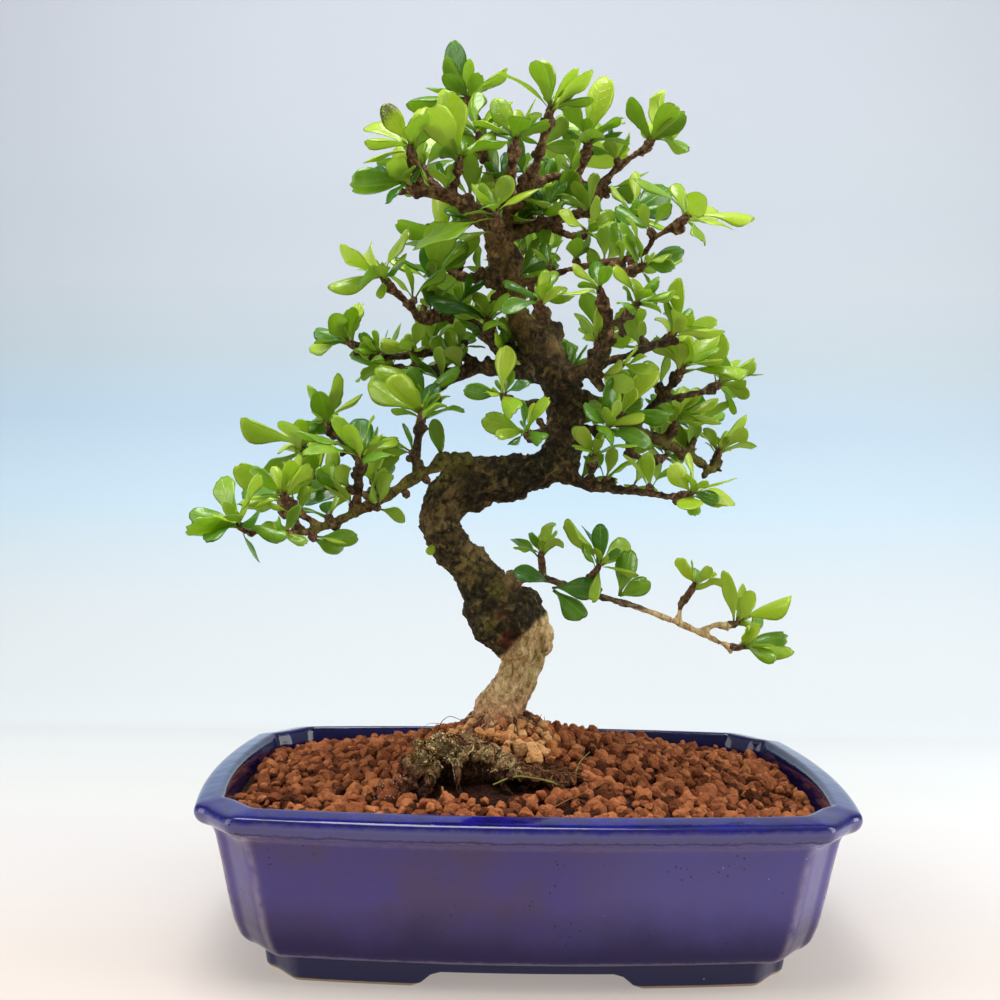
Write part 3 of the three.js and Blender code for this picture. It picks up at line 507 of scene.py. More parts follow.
def glaze_look():
    look = Look('glaze')
    place = look.add('ShaderNodeSeparateXYZ', Vector=look.place)
    width, height = place.outputs[0], place.outputs[2]
    drift, cloud, ragged = look.noise(26, 3, 0.55), look.noise(7, 4, 0.6), look.noise(2.6, 4, 0.65)
    blue = look.mix(look.span(cloud, 0.35, 0.7), '0c0948', '151064')
    body = look.mix(look.span(drift, 0.4, 0.62), '4b3b68', '46397d')
    body = look.mix(look.times(look.span(ragged, 0.5, 0.7), 0.18), body, '55447e')
    # Painted reflection: the body's right side is drawn lighter and bluer.
    body = look.mix(look.times(look.span(width, 0.0, 0.05), 0.7), body, '524c94')
    edge = look.plus(look.swing(cloud, 0.0018), look.swing(ragged, 0.0014))
    low = look.plus(height, edge)
    # Painted shade: the body grows darker towards its foot, for the shadowed floor that it reflects there.
    shade_level = look.plus(height, look.swing(drift, 0.016))
    body = look.mix(look.span(shade_level, 0.038, 0.014), body, '190648')
    colour = look.mix(look.span(low, 0.0582, 0.0592), body, blue)
    colour = look.mix(look.times(look.band(low, *COVE), 0.7), colour, '6b5f86')
    thin = look.times(look.mark('ridge'), look.span(cloud, 0.2, 0.6), 0.85)
    colour = look.mix(thin, colour, 'c0b2b6')
    # Painted reflection: paler lavender on the rim's outer face.
    colour = look.mix(look.times(look.band(low, *LIP_REFLECTION), 0.55), colour, '6c6799')
    colour = look.mix(look.mark('inner'), colour, look.mix(0.62, blue, '0d0b22'))
    colour = look.mix(look.times(look.span(low, 0.0105, 0.0095), 0.75), colour, '292c52')
    colour = look.mix(look.times(look.band(low, *FOOT_LINE), 0.45), colour, '7a6c94')
    specks = look.span(look.cells(2.2), 0.24, 0.14)
    patch = look.span(look.noise(11, 2, 0.5, distortion=0.4), 0.6, 0.66)
    colour = look.mix(look.times(specks, patch, 0.85), colour, '100b3a')
    pale = look.span(look.cells(13), 0.035, 0.015)
    colour = look.mix(look.times(pale, 0.5), colour, 'b7b3c6')
    bare = look.span(look.plus(height, look.times(edge, 0.2)), 0.0014, 0.0009)
    colour = look.mix(bare, colour, 'b09c80')
    rough = look.span(bare, 0, 1, 0.09, 0.75)
    waves = look.bump(look.noise(11, 2, 0.5), 0.5, 0.5)
    normal = look.bump(look.noise(1.1, 2, 0.5), 0.02, 0.35, waves)
    return look.done(look.surface(colour, rough, normal, Specular_IOR_Level=0.3, Coat_Weight=0.16,
                                  Coat_Roughness=0.03))


# Soil: a bed under a layer of baked clay granules
GAP = 0.3
BED_DEPTH = 2.4
BED_ROWS = 46
BED_WALL = [(13.6, 13, 52), (20.8, 18.8, 17), (24.8, 22.8, 14.4)]
BED_UNDERSIDE = BED_WALL[-1][2]

# Ovals that stay free of granules, at the trunk and at the root mass: centre, reach and limit
BARE_PLACES = [((-8, 3), (11, 11), 1), ((-19, -25), (33, 22), 0.72), ((-15, -46), (27, 6.5), 1)]
# Layers of granules: name, distance apart, least and greatest size, depth in the heap, usual tone
# The lower layer's low tone is painted shade in the gaps between the upper granules.
LAYERS = [('soil_granules_lower', 6.6, 2.7, 3.5, 2.6, 0.18),
          ('soil_granules_upper', 4.9, 1.3, 3.5, 0.4, 0.51)]
FINE_BEFORE = -50
TAN_TRIES, TAN_ROOM, TAN_FINE_BEFORE = 900, 0.72, -17
CRUMBS = 620


def bell(x, y, peak, spread):
    return np.exp(-((x - peak[0]) / spread[0]) ** 2 - ((y - peak[1]) / spread[1]) ** 2)


def soil_height(x, y):
    return 58 + 20 * bell(x, y, (0, 15), (78, 71)) + 9.5 * bell(x, y, (-12, 3), (26, 29))


def make_soil_bed(material):
    edge = pot_loop(13.3, 12.8, 0)[::2]
    count = len(edge)
    top = []
    for share in np.linspace(0.02, 1, BED_ROWS):
        loop = edge * share
        loop[:, 2] = soil_height(loop[:, 0], loop[:, 1]) - BED_DEPTH
        top.append(loop)
    top = np.concatenate(top)
    top[:, 2] += 1.1 * wobble(top, 5, 1)
    wall = [pot_loop(*level)[::2] for level in BED_WALL]
    middles = [[[0, 0, soil_height(0, 0) - BED_DEPTH]], [[0, 0, BED_UNDERSIDE]]]
    points = np.concatenate([top] + wall + middles)
    total = BED_ROWS + len(wall)
    faces = grid_faces(total, count, True) + close_ends(total, count, total * count, total * count + 1)
    faces = [tuple(reversed(face)) for face in faces]
    mesh = new_mesh('soil_bed', points, faces, materials=(material,))
    return new_piece('soil_bed', mesh, ['soil'])


def inside_pot(x, y, inset):
    half_x, half_y = POT_HALF[0] - inset, POT_HALF[1] - inset
    return ((np.abs(x) / half_x) ** 6 + (np.abs(y) / half_y) ** 6) < 0.86


def ball(level):
    """Points and triangles of a ball of unit size made from a split icosahedron."""
    made = bpy.data.meshes.new('ball')
    work = bmesh.new()
    bmesh.ops.create_icosphere(work, subdivisions=level, radius=1.0)
    work.to_mesh(made)
    work.free()
    points = np.array([v.co[:] for v in made.vertices])
    faces = np.array([p.vertices[:] for p in made.polygons])
    bpy.data.meshes.remove(made)
    return points, faces


BALL_PLAIN = ball(1)
BALL = ball(2)
BALL_FINE = ball(3)


def granule(rng, size, shape):
    """One angular crumb: a ball cut back to random planes, with small lumps on its skin."""
    directions = shape[0]
    facings = rng.normal(size=(11, 3))
    facings /= np.linalg.norm(facings, axis=1)[:, None]
    towards = directions @ facings.T
    reach = rng.uniform(0.58, 0.98, 11) / np.maximum(towards, 0.05)
    reach = np.minimum(reach.min(axis=1), 1.12)
    for _ in range(4):
        reach = reach + 0.035 * np.sin(directions @ rng.normal(scale=4.5, size=3) + rng.uniform(0, 6.28))
    reach = reach + rng.normal(scale=0.018, size=len(reach))
    points = directions * reach[:, None] * rng.uniform(0.8, 1.25, 3)
    turn = Matrix.Rotation(rng.uniform(0, 6.28), 3, rng.normal(size=3))
    return points @ np.array(turn).T * size


def granule_sheet(name, places, sizes, tones, rng, material, shapes):
    points, faces, marks = [], [], []
    total = 0
    for place, size, tone, shape in zip(places, sizes, tones, shapes):
        crumb = granule(rng, size, shape) + place
        points.append(crumb)
        faces += (shape[1] + total).tolist()
        marks.append(np.full(len(crumb), tone))
        total += len(crumb)
    mesh = new_mesh(name, np.concatenate(points), faces, shade_smooth=False, materials=(material,),
                    attributes={'tone': np.concatenate(marks)})
    return new_piece(name, mesh, ['soil'])


def scatter(rng, pitch, reach=(118, 82)):
    """Places spread evenly over the soil, each one moved a little at random."""
    rows = int(reach[1] / (pitch * 0.87)) + 1
    columns = int(reach[0] / pitch) + 1
    found = []
    for row in range(-rows, rows + 1):
        for column in range(-columns, columns + 1):
            x = (column + 0.5 * (row % 2)) * pitch + rng.uniform(-0.42, 0.42) * pitch
            y = row * pitch * 0.87 + rng.uniform(-0.42, 0.42) * pitch
            if inside_pot(x, y, 14):
                found.append((x, y))
    return np.array(found)


def make_granules(material):
    rng = np.random.default_rng(21)
    for name, pitch, low, high, sink, usual in LAYERS:
        spots = scatter(rng, pitch)
        for centre, reach, limit in BARE_PLACES:
            spots = spots[(((spots - centre) / reach) ** 2).sum(axis=1) > limit]
        sizes = low + (high - low) * rng.uniform(0, 1, len(spots)) ** 1.25
        heights = soil_height(spots[:, 0], spots[:, 1]) - sink + rng.normal(scale=0.8, size=len(spots))
        places = np.column_stack([spots, heights - sizes * 0.3])
        # The lower layer's dark tones are painted shade in the gaps between the granules above.
        tones = np.clip(usual + rng.normal(scale=0.17, size=len(spots)), 0.1, 0.74)
        shapes = [BALL_FINE if 'upper' in name and y < FINE_BEFORE else BALL for y in spots[:, 1]]
        granule_sheet(name, places, sizes, tones, rng, material, shapes)
    make_tan_granules(rng, material)
    make_crumbs(rng, material)


def make_tan_granules(rng, material):
    """Fresh tan granules that lie on the root mass between its crest and the trunk."""
    places, sizes, tones = [], [], []
    for _ in range(TAN_TRIES):
        x, y = rng.normal(-12, 10), rng.normal(-16, 8)
        on_crest = y < -30 + 0.012 * (x + 30) ** 2 * (x < 5) and x < -10
        if y < -38 or math.hypot(x + 9, y - 3) < 10.5 or on_crest:
            continue
        size = rng.uniform(1.5, 3.1)
        place = vec(x, y, max(root_height(x, y), soil_height(x, y)) + rng.uniform(-0.3, 1.0))
        if any(np.linalg.norm(place - other) < TAN_ROOM * (size + near)
               for other, near in zip(places, sizes)):
            continue
        places.append(place)
        sizes.append(size)
        tones.append(rng.uniform(0.74, 1.0))
    shapes = [BALL_FINE if place[1] < TAN_FINE_BEFORE else BALL for place in places]
    granule_sheet('soil_granules_tan', places, sizes, tones, rng, material, shapes)


def make_crumbs(rng, material):
    """Crumbs round the foot of the trunk."""
    places, sizes, tones = [], [], []
    for _ in range(CRUMBS):
        turn, out = rng.uniform(0, 2 * math.pi), rng.uniform(9.5, 19)
        x, y = -10.5 + out * math.cos(turn), 3 + out * 0.95 * math.sin(turn)
        places.append((x, y, soil_height(x, y) + rng.uniform(-0.4, 5.4 - 0.27 * out)))
        sizes.append(rng.uniform(0.45, 1.25))
        tones.append(rng.uniform(0.25, 0.9))
    granule_sheet('soil_crumbs', places, sizes, tones, rng, material, [BALL_PLAIN] * len(places))


def soil_look():
    look = Look('soil')
    broad, fine = look.noise(2.6, 4, 0.6), look.noise(0.5, 4, 0.65)
    base = look.ramp(look.mark('tone'), (0.0, '1a0c07'), (0.08, '3c1d10'), (0.3, '80462a'), (0.55, 'ae6740'),
                     (0.74, 'c67c4d'), (0.84, 'dd9a5c'), (1.0, 'f2c084'))
    colour = look.mix(look.span(broad, 0.3, 0.7), look.mix(0.35, base, '50281a'), base)
    colour = look.mix(look.times(look.span(fine, 0.55, 0.75), 0.35), colour, 'cf9c74')
    colour = look.mix(look.times(look.span(fine, 0.45, 0.3), 0.7), colour, '34190e')
    normal = look.bump(fine, 0.9, 1.0, look.bump(broad, 0.9, 0.9))
    return look.done(look.surface(colour, 0.95, normal, Specular_IOR_Level=0.1))


# Limbs of the tree: points [x, y, z, radius] along each, and the first limb is the trunk
LIMBS = {
    'trunk': [[-8, 3, 66, 15], [-8, 3, 77, 13.5], [-11, 3, 86, 11.5], [-9, 4, 93, 9.3],
        [-5, 4, 100, 8.6], [-2, 4, 107, 9], [-2, 4, 114, 10.2], [-5, 3, 121, 12.8], [-9, 2, 128, 13.8],
        [-13, 2, 135, 13], [-19, 2, 143, 10.4], [-25, 2, 151, 9.2], [-31, 3, 157, 8.8],
        [-36, 4, 164, 8.4], [-37, 5, 171, 8.3], [-35, 6, 179, 9.2], [-29, 6, 185, 9.4],
        [-21, 6, 188, 8.9], [-11, 5, 189, 8.3], [0, 4, 190, 8], [9, 4, 194, 7.9], [14, 5, 201, 7.6],
        [15, 6, 210, 7.7], [14, 7, 221, 7.3], [12, 6, 229, 7.8], [8, 5, 236, 8.2], [4, 4, 243, 8.3],
        [0, 4, 249, 6]],
    'leader': [[1, 4, 242, 6.5], [-4, 3, 252, 4.9], [-8, 2, 261, 3.8], [-10, 3, 267, 5.2],
        [-12, 5, 276, 6.6], [-14, 5, 286, 7], [-15, 4, 294, 5.8], [-15, 3, 300, 4]],
    'crown_stub': [[6, 5, 241, 6.4], [7, 7, 254, 6]],
    'crown_right': [[-13, 5, 287, 5], [-5, 9, 293, 4.2], [6, 14, 298, 3.6], [21, 20, 304, 3.3],
        [29, 24, 315, 3.1], [38, 28, 326, 2.8], [51, 32, 336, 2]],
    'crown_middle': [[-14, 4, 294, 5.2], [-9, 3, 303, 4.6], [-3, 1, 310, 3.8], [1, -2, 321, 2.8],
        [5, -5, 337, 1.9]],
    'crown_cross': [[-6, 2, 307, 3.2], [3, 10, 315, 2.8], [12, 16, 318, 2.6], [28, 24, 315, 2.2]],
    'crown_right_back': [[17, 19, 317, 2.2], [21, 20, 323, 2], [23, 18, 330, 1.7]],
    'crown_front': [[-13, 3, 297, 4.6], [-11, -6, 306, 3.6], [-10, -12, 314, 2.8], [-9, -16, 321, 2]],
    'crown_left': [[-14, 4, 291, 5], [-23, -2, 298, 4.1], [-37, -12, 303, 3.1], [-49, -20, 303, 2]],
    'crown_left_tip': [[-45, -17, 303, 2.4], [-48, -21, 309, 2.1], [-50, -24, 315, 1.7]],
    'crown_left_inner': [[-32, -8, 301, 2.6], [-34, -13, 307, 2.2], [-32, -16, 313, 1.7]],
    'top': [[-15, 5, 294, 4.8], [-17, 12, 312, 3.7], [-20, 19, 332, 2.7], [-28, 22, 350, 1.8]],
    'top_inner': [[-18, 14, 318, 2.4], [-21, 8, 324, 2], [-23, 3, 328, 1.7]],
    'leader_front': [[-14, 2, 286, 3.2], [-15, -13, 288, 2.3], [-16, -22, 291, 1.7]],
    'thin_right': [[-10, 3, 269, 4.2], [1, 0, 271, 2.8], [17, -14, 274, 2.4], [41, -32, 277, 2.1],
        [46, -36, 283, 1.9], [55, -42, 287, 1.5]],
    'thin_right_under': [[26, -21, 275, 2.1], [34, -29, 271, 1.7], [39, -34, 270, 1.5]],
    'short_right': [[10, 5, 232, 5.8], [20, -6, 232, 4.4], [27, -16, 235, 3.5], [29, -25, 243, 2.7],
        [29, -31, 251, 2.1], [26, -36, 258, 1.7]],
    'short_right_front': [[29, -29, 248, 2], [32, -35, 250, 1.7], [37, -41, 253, 1.5]],
    'cut_stub': [[24, -11, 233, 3.2], [29, -14, 224, 2.6]],
    'short_right_side': [[26, -14, 235, 2.8], [42, -12, 240, 2.2], [56, -8, 246, 1.7]],
    'right': [[12, 6, 223, 5.8], [26, 14, 222, 4.3], [48, 30, 210, 3.3], [62, 38, 205, 2.9],
        [77, 46, 198, 2.5], [86, 50, 193, 2.2], [88, 52, 198, 1.7]],
    'right_upper': [[47, 29, 210, 2.8], [52, 24, 218, 2.4], [58, 19, 225, 2], [64, 14, 233, 1.7]],
    'right_upper_end': [[57, 20, 223, 2.1], [72, 24, 226, 1.9], [82, 28, 229, 1.6]],
    'right_twig': [[62, 38, 205, 2.3], [65, 33, 211, 1.8]],
    'right_outer': [[74, 44, 199, 2.3], [76, 47, 208, 1.7]],
    'right_front': [[33, 19, 218, 2.7], [36, 8, 214, 2.1], [37, 0, 213, 1.7]],
    'right_under': [[46, 29, 211, 2.7], [46, 34, 200, 2.2], [59, 40, 197, 1.7]],
    'right_inner': [[13, 4, 211, 3], [22, -8, 209, 2.2], [28, -14, 207, 1.7]],
    'under_right': [[12, 5, 192, 5], [23, 0, 186, 3.4], [35, -12, 184, 2.4], [44, -24, 183, 2],
        [59, -38, 181, 1.5]],
    'under_right_twig': [[23, 0, 186, 2.3], [25, -10, 190, 1.8], [25, -16, 194, 1.6]],
    'front_low': [[13, 2, 209, 3.2], [5, -20, 207, 2.3], [-1, -32, 204, 1.7]],
    'front_high': [[5, 0, 241, 3.2], [3, -20, 248, 2.2], [2, -30, 254, 1.7]],
    'front_middle': [[11, 3, 221, 3.2], [-1, -18, 218, 2.3], [-10, -30, 218, 1.7]],
    'left_middle': [[8, 6, 232, 6.2], [-4, 14, 234, 4.8], [-22, 26, 236, 4.1], [-33, 30, 233, 3.5],
        [-46, 34, 236, 2.5], [-59, 36, 235, 1.7]],
    'left_middle_front': [[-12, 20, 236, 2.8], [-15, 10, 245, 2.3], [-18, 4, 251, 1.8]],
    'left_middle_under': [[-33, 30, 232, 2.4], [-40, 18, 225, 1.9], [-43, 10, 221, 1.6]],
    'left_far': [[-22, 26, 236, 3], [-35, 27, 243, 2.7], [-66, 30, 240, 2.2], [-77, 30, 244, 1.7]],
    'left_high': [[-11, 4, 271, 5], [-18, 12, 273, 3.8], [-29, 22, 275, 3.1], [-36, 30, 280, 2.5],
        [-38, 34, 287, 1.8]],
    'left_upper': [[-2, 7, 240, 4], [-15, 13, 245, 3.2], [-30, 14, 258, 2.9], [-40, 7, 255, 2.6],
        [-47, 2, 254, 2.5], [-51, -2, 259, 2.2], [-60, -9, 266, 1.7]],
    'left_upper_twig': [[-47, 2, 254, 2.1], [-45, 6, 262, 1.8], [-43, 10, 268, 1.6]],
    'left_low': [[-20, 4, 187, 5.4], [-29, -5, 196, 4.1], [-46, -14, 188, 3.5], [-59, -20, 179, 3.1],
        [-72, -29, 172, 2.8], [-89, -39, 165, 2.2], [-99, -47, 166, 1.7], [-108, -54, 166, 1.4]],
    'left_low_inner': [[-46, -14, 187, 2.7], [-47, -17, 195, 2.3], [-45, -22, 209, 1.8]],
    'left_low_middle': [[-70, -28, 173, 2.9], [-69, -31, 182, 2.6], [-68, -35, 191, 1.9]],
    'left_low_back': [[-61, -21, 177, 2.8], [-75, -4, 182, 2.5], [-96, 14, 185, 2.2],
        [-98, 19, 195, 1.7]],
    'left_low_outer': [[-82, -35, 167, 2.3], [-90, -37, 172, 1.7], [-95, -38, 176, 1.5]],
    'left_low_high': [[-60, -20, 179, 2.5], [-68, 0, 190, 2.2], [-79, 12, 201, 1.9],
        [-86, 18, 207, 1.6]],
    'left_low_rear': [[-89, -38, 165, 2], [-96, -22, 169, 1.6], [-101, -14, 173, 1.4]],
    'low_right': [[-8, 0, 138, 6], [-3, -12, 146, 3.8], [6, -16, 147, 3], [19, -18, 143, 2.7],
        [45, -22, 136, 2.5], [69, -27, 127, 2.3], [81, -29, 121, 1.7]],
    'low_right_inner': [[6, -16, 147, 2.3], [5, -18, 153, 1.6]],
    'low_right_middle': [[20, -18, 143, 2.3], [26, -21, 149, 1.7]],
    'low_right_outer': [[60, -25, 130, 2.3], [61, -26, 138, 1.9], [64, -27, 142, 1.6]],
    'low_right_end': [[69, -27, 127, 2.2], [75, -25, 130, 1.8], [81, -23, 129, 1.5]],
    'back_crown_right': [[-13, 7, 289, 3.6], [0, 30, 305, 2.7], [12, 48, 318, 2.1], [18, 58, 328, 1.6]],
    'back_crown_left': [[-15, 7, 291, 3.6], [-30, 28, 305, 2.7], [-42, 42, 318, 2.1],
        [-48, 50, 326, 1.6]],
    'back_upper': [[-12, 6, 274, 3.6], [-6, 30, 276, 2.7], [-2, 52, 284, 2.1], [-2, 64, 291, 1.6]],
    'back_right': [[13, 9, 224, 4], [20, 34, 232, 3], [30, 54, 244, 2.3], [34, 66, 252, 1.7]],
    'back_left': [[6, 7, 238, 4], [-6, 34, 244, 3], [-20, 54, 252, 2.3], [-26, 64, 260, 1.7]],
    'crown_fill_right': [[21, 19, 303, 2.4], [30, 6, 299, 1.9], [37, -1, 296, 1.6]],
    'crown_fill_inner': [[6, 13, 297, 2.6], [13, 2, 291, 2], [19, -6, 288, 1.6]],
    'root_front': [[-8, 2, 82, 8], [-15, -14, 74, 6], [-24, -27, 64, 4]],
    'root_left': [[-10, 3, 82, 8], [-26, 8, 74, 5.6], [-36, 12, 62, 3.8]],
    'root_right': [[-6, 3, 82, 8], [8, 2, 74, 6], [20, -2, 62, 4]],
    'root_back': [[-8, 5, 82, 8], [-4, 20, 75, 5.6], [0, 32, 63, 3.8]],
}

# Sprays: how many leaves each has, their usual length, and the tips whose places are known
SPRAYS = {
    'crown_right': [6, 23, [[66, 38, 346], [58, 34, 360], [66, 22, 332]]],
    'crown_middle': [6, 23, [[1, -12, 359], [14, -12, 356]]],
    'crown_right_back': [6, 26, [[30, 14, 362], [12, 10, 350], [40, 4, 330]]],
    'crown_front': [6, 21, []],
    'crown_left': [5, 23, [[-74, -30, 302], [-56, -38, 288]]],
    'crown_left_tip': [6, 23, [[-62, -40, 331], [-72, -36, 325], [-70, -20, 313]]],
    'crown_left_inner': [5, 25, [[-37, -28, 342]]],
    'top': [7, 23, [[-36, 20, 377], [-29, 10, 366], [-12, 22, 366], [-48, 28, 358]]],
    'top_inner': [6, 22, []],
    'leader_front': [6, 22, [[-49, -30, 277]]],
    'thin_right': [6, 20, [[36, -46, 304], [61, -48, 289], [62, -52, 275]]],
    'thin_right_under': [6, 22, [[52, -42, 266], [46, -36, 256]]],
    'short_right': [6, 21, [[16, -46, 263]]],
    'short_right_front': [5, 20, [[46, -52, 265]]],
    'short_right_side': [6, 23, [[74, -14, 250], [66, -4, 260]]],
    'right': [5, 16, []],
    'right_upper': [6, 23, [[68, 8, 250], [82, 4, 240]]],
    'right_upper_end': [6, 22, [[94, 34, 243], [98, 30, 226], [92, 44, 214]]],
    'right_twig': [7, 21, []],
    'right_outer': [6, 22, [[88, 52, 222]]],
    'right_front': [7, 23, []],
    'right_under': [6, 20, [[74, 46, 192]]],
    'right_inner': [7, 22, []],
    'under_right': [6, 20, [[72, -46, 180], [62, -48, 172]]],
    'under_right_twig': [5, 20, []],
    'front_low': [7, 23, [[-14, -44, 198]]],
    'front_high': [6, 22, [[-20, -38, 252]]],
    'front_middle': [7, 26, [[-37, -40, 222], [4, -44, 228]]],
    'left_middle': [7, 22, [[-80, 34, 238], [-78, 44, 230]]],
    'left_middle_front': [7, 22, []],
    'left_middle_under': [7, 22, []],
    'left_far': [6, 22, [[-88, 32, 256], [-78, 34, 264], [-96, 34, 246]]],
    'left_high': [7, 22, []],
    'left_upper': [7, 24, [[-79, -20, 280], [-84, -16, 264], [-62, -20, 254]]],
    'left_upper_twig': [7, 22, [[-60, 16, 282]]],
    'left_low': [6, 20, [[-127, -74, 168], [-104, -60, 153], [-92, -60, 164]]],
    'left_low_inner': [7, 23, [[-57, -34, 226], [-36, -34, 222]]],
    'left_low_middle': [7, 25, [[-88, -52, 196], [-78, -42, 211], [-62, -44, 211], [-94, -36, 202]]],
    'left_low_back': [6, 22, [[-124, 12, 211], [-116, 26, 188]]],
    'left_low_outer': [7, 22, [[-108, -48, 190], [-96, -50, 194], [-112, -44, 170]]],
    'left_low_high': [6, 21, [[-96, 14, 226], [-106, 22, 208]]],
    'left_low_rear': [5, 20, [[-119, -6, 184]]],
    'low_right': [4, 18, [[97, -40, 118], [103, -32, 124]]],
    'low_right_inner': [6, 17, [[-7, -22, 160], [0, -26, 166]]],
    'low_right_middle': [6, 21, [[28, -24, 170], [44, -26, 150], [24, -32, 134]]],
    'low_right_outer': [5, 18, [[58, -32, 157], [70, -34, 156]]],
    'low_right_end': [6, 22, [[104, -34, 142], [88, -14, 146]]],
    'back_crown_right': [6, 22, []],
    'back_crown_left': [6, 22, []],
    'back_upper': [7, 22, []],
    'back_right': [7, 22, []],
    'back_left': [7, 22, []],
    'crown_fill_right': [7, 21, [[52, -8, 302]]],
    'crown_fill_inner': [7, 22, []],
}

BELOW_GROUND = ('trunk', 'root_front', 'root_left', 'root_right', 'root_back')
LIMBS = {name: np.array(points, dtype=float) for name, points in LIMBS.items()}

# How much of its radius each limb keeps under its knobs; the old wood keeps all of it
SLIM = {'low_right': 0.55, 'low_right_inner': 0.7, 'low_right_middle': 0.75, 'low_right_outer': 0.65,
        'low_right_end': 0.65, 'left_low': 0.66, 'crown_right': 0.62, 'thin_right': 0.62, 'crown_left': 0.86,
        'right': 0.86, 'short_right': 0.9, 'left_middle': 0.85, 'crown_stub': 1.0, 'crown_middle': 0.8}
SLIM_OTHERS = 0.76
OLD_WOOD = 10
SPUR_SPACING = 15
SPUR_RADII = [(0, 1.6), (0.6, 1.3), (1, 1.8)]

# Swellings of the old wood: centre, then how far each reaches along the three axes
SWELLINGS = [((0, 2, 127), (10, 9, 8.5)), ((-3, 2, 135), (9.5, 9, 7)), ((7.6, 3, 121), (3.9, 6, 8)),
             ((-33, 5, 183.5), (8, 8, 7)), ((14, 5, 199), (8.4, 8, 8)), ((11, 6, 232), (8.5, 8, 8)),
             ((-12, 4, 279), (7.2, 7, 9)), ((-14, 3, 82), (11, 9, 7.5)), ((-4, 4, 81), (9, 9, 7)),
             ((-24, 6, 181), (10, 8.5, 8)), ((-12, 5, 184.5), (13, 8.3, 7.2)), ((-2, 4, 188.5), (9, 8, 6.5)),
             ((-23, 2, 133), (3.5, 5, 5)), ((16, 5, 214), (7.5, 7.5, 9)), ((14, 6, 223), (7.5, 7.5, 8)),
             ((-8, -2, 142), (5, 5, 5))]

PALE_SPOTS = [(1, (-32.4, -4, 182.4), (4.5, 7, 4.5)), (0.8, (-42, 0, 169), (4.5, 8, 6)),
              (1, (-22, -6, 160), (5.5, 7, 6)), (0.8, (-18, -4, 152), (4.5, 7, 4)),
              (0.6, (-24, -6, 147), (4, 7, 4)), (0.6, (-31, 0, 172), (4, 8, 6)),
              (1.2, (-7.6, -7, 147), (3.2, 4, 4.5)), (1, (12, -3, 244), (6, 8, 6)),
              (1.3, (29.5, -14.5, 223.5), (3, 4, 3))]
MOSS_SPOTS = [(0.8, (-13, -9, 142), (4, 6, 4)), (0.6, (-16, -9, 127), (5, 7, 4)),
              (0.7, (5, -4, 106), (5, 8, 12)), (0.3, (-24, -4, 150), (8, 8, 8))]
GREEN_RUN = [(-29, -4, 195), (-37, -9, 192), (-45, -13, 188), (-53, -17, 183), (-62, -22, 178),
             (-72, -29, 172), (-84, -36, 166), (37, 22, 216), (48, 30, 210), (62, 38, 205), (77, 46, 198),
             (86, 50, 193)]
LOW_RIGHT_RUN = [(6, -16, 147), (14, -17, 145), (24, -19, 142), (34, -20, 139), (44, -22, 136),
                 (54, -24, 132), (64, -26, 128), (74, -28, 124)]
RED_SPOTS = [(1, (-8.4, -10, 120.6), (3.2, 6, 4)), (0.5, (-12, -12, 131), (3, 5, 3))]
GOLDEN_SPOTS = [(0.8, (-14, 0, 283), (12, 12, 24)), (0.9, (-5, -2, 256), (9, 8, 14))]
# A patch of painted shade on the front of the trunk's left bend.
BEND_SHADE_SPOT = ((-26, -4, 183), (13, 9, 6))
# The pale foot of the trunk ends above in a slanting edge: a place on it, and its slope
PALE_EDGE_X, PALE_EDGE_Z, PALE_SLOPE = -11.1, 113.8, 0.957

# Short dead stubs on the trunk: places and radii
STUBS = [[(-6, -3, 141, 3.0), (-7.2, -6, 146, 2.6), (-7.6, -7, 149.6, 1.7)],
         [(-22, 3, 131, 3.5), (-26.6, 1, 131.5, 2.2)]]


def limb_route(points, step=1.6):
    """Places and radii along a limb, on a curve through its given points."""
    out = []
    for i in range(len(points) - 1):
        before, here = points[max(i - 1, 0)], points[i]
        after, beyond = points[i + 1], points[min(i + 2, len(points) - 1)]
        length = np.linalg.norm(after[:3] - here[:3])
        parts = max(2, int(length / step))
        for part in range(parts):
            t = part / parts
            second = 2 * before - 5 * here + 4 * after - beyond
            third = 3 * here - before - 3 * after + beyond
            curve = 0.5 * (2 * here + (after - before) * t + second * t ** 2 + third * t ** 3)
            curve[3] = here[3] + (after[3] - here[3]) * t * t * (3 - 2 * t)
            out.append(curve)
    out.append(points[-1].copy())
    return np.array(out)


def tube(route, sides, reach):
    """Points and faces of a closed skin round a route. The reach is worked out ring by ring."""
    across = vec(0, 1, 0.3)
    rings = []
    for index, point in enumerate(route):
        along = unit(route[min(index + 1, len(route) - 1)][:3] - route[max(index - 1, 0)][:3])
        across = unit(across - along * (across @ along))
        other = np.cross(along, across)
        angles = np.linspace(0, 2 * math.pi, sides, endpoint=False)
        rings.append(point[:3] + reach(index, angles)[:, None]
                     * (np.outer(np.cos(angles), across) + np.outer(np.sin(angles), other)))
    points = np.concatenate(rings + [route[:1, :3], route[-1:, :3]])
    rows, total = len(route), len(points)
    return points, grid_faces(rows, sides, True) + close_ends(rows, sides, total - 2, total - 1)


def plain_tube(route, sides):
    return tube(route, sides, lambda index, angles: np.full(len(angles), route[index, 3]))


class Heap:
    """Gathers points and faces of many small shapes."""

    def __init__(self):
        self.points, self.faces, self.marks, self.total = [], [], [], 0

    def take(self, points, faces, mark=0.0):
        self.points.append(np.asarray(points))
        self.faces += [tuple(int(i) + self.total for i in face) for face in faces]
        self.marks.append(np.full(len(points), mark))
        self.total += len(points)

    def mesh(self, name, material):
        return new_mesh(name, np.concatenate(self.points), self.faces, materials=(material,),
                        attributes={'tone': np.concatenate(self.marks)})


def run_along(route):
    """How far along a limb each of its places is."""
    return np.concatenate([[0], np.cumsum(np.linalg.norm(np.diff(route[:, :3], axis=0), axis=1))])


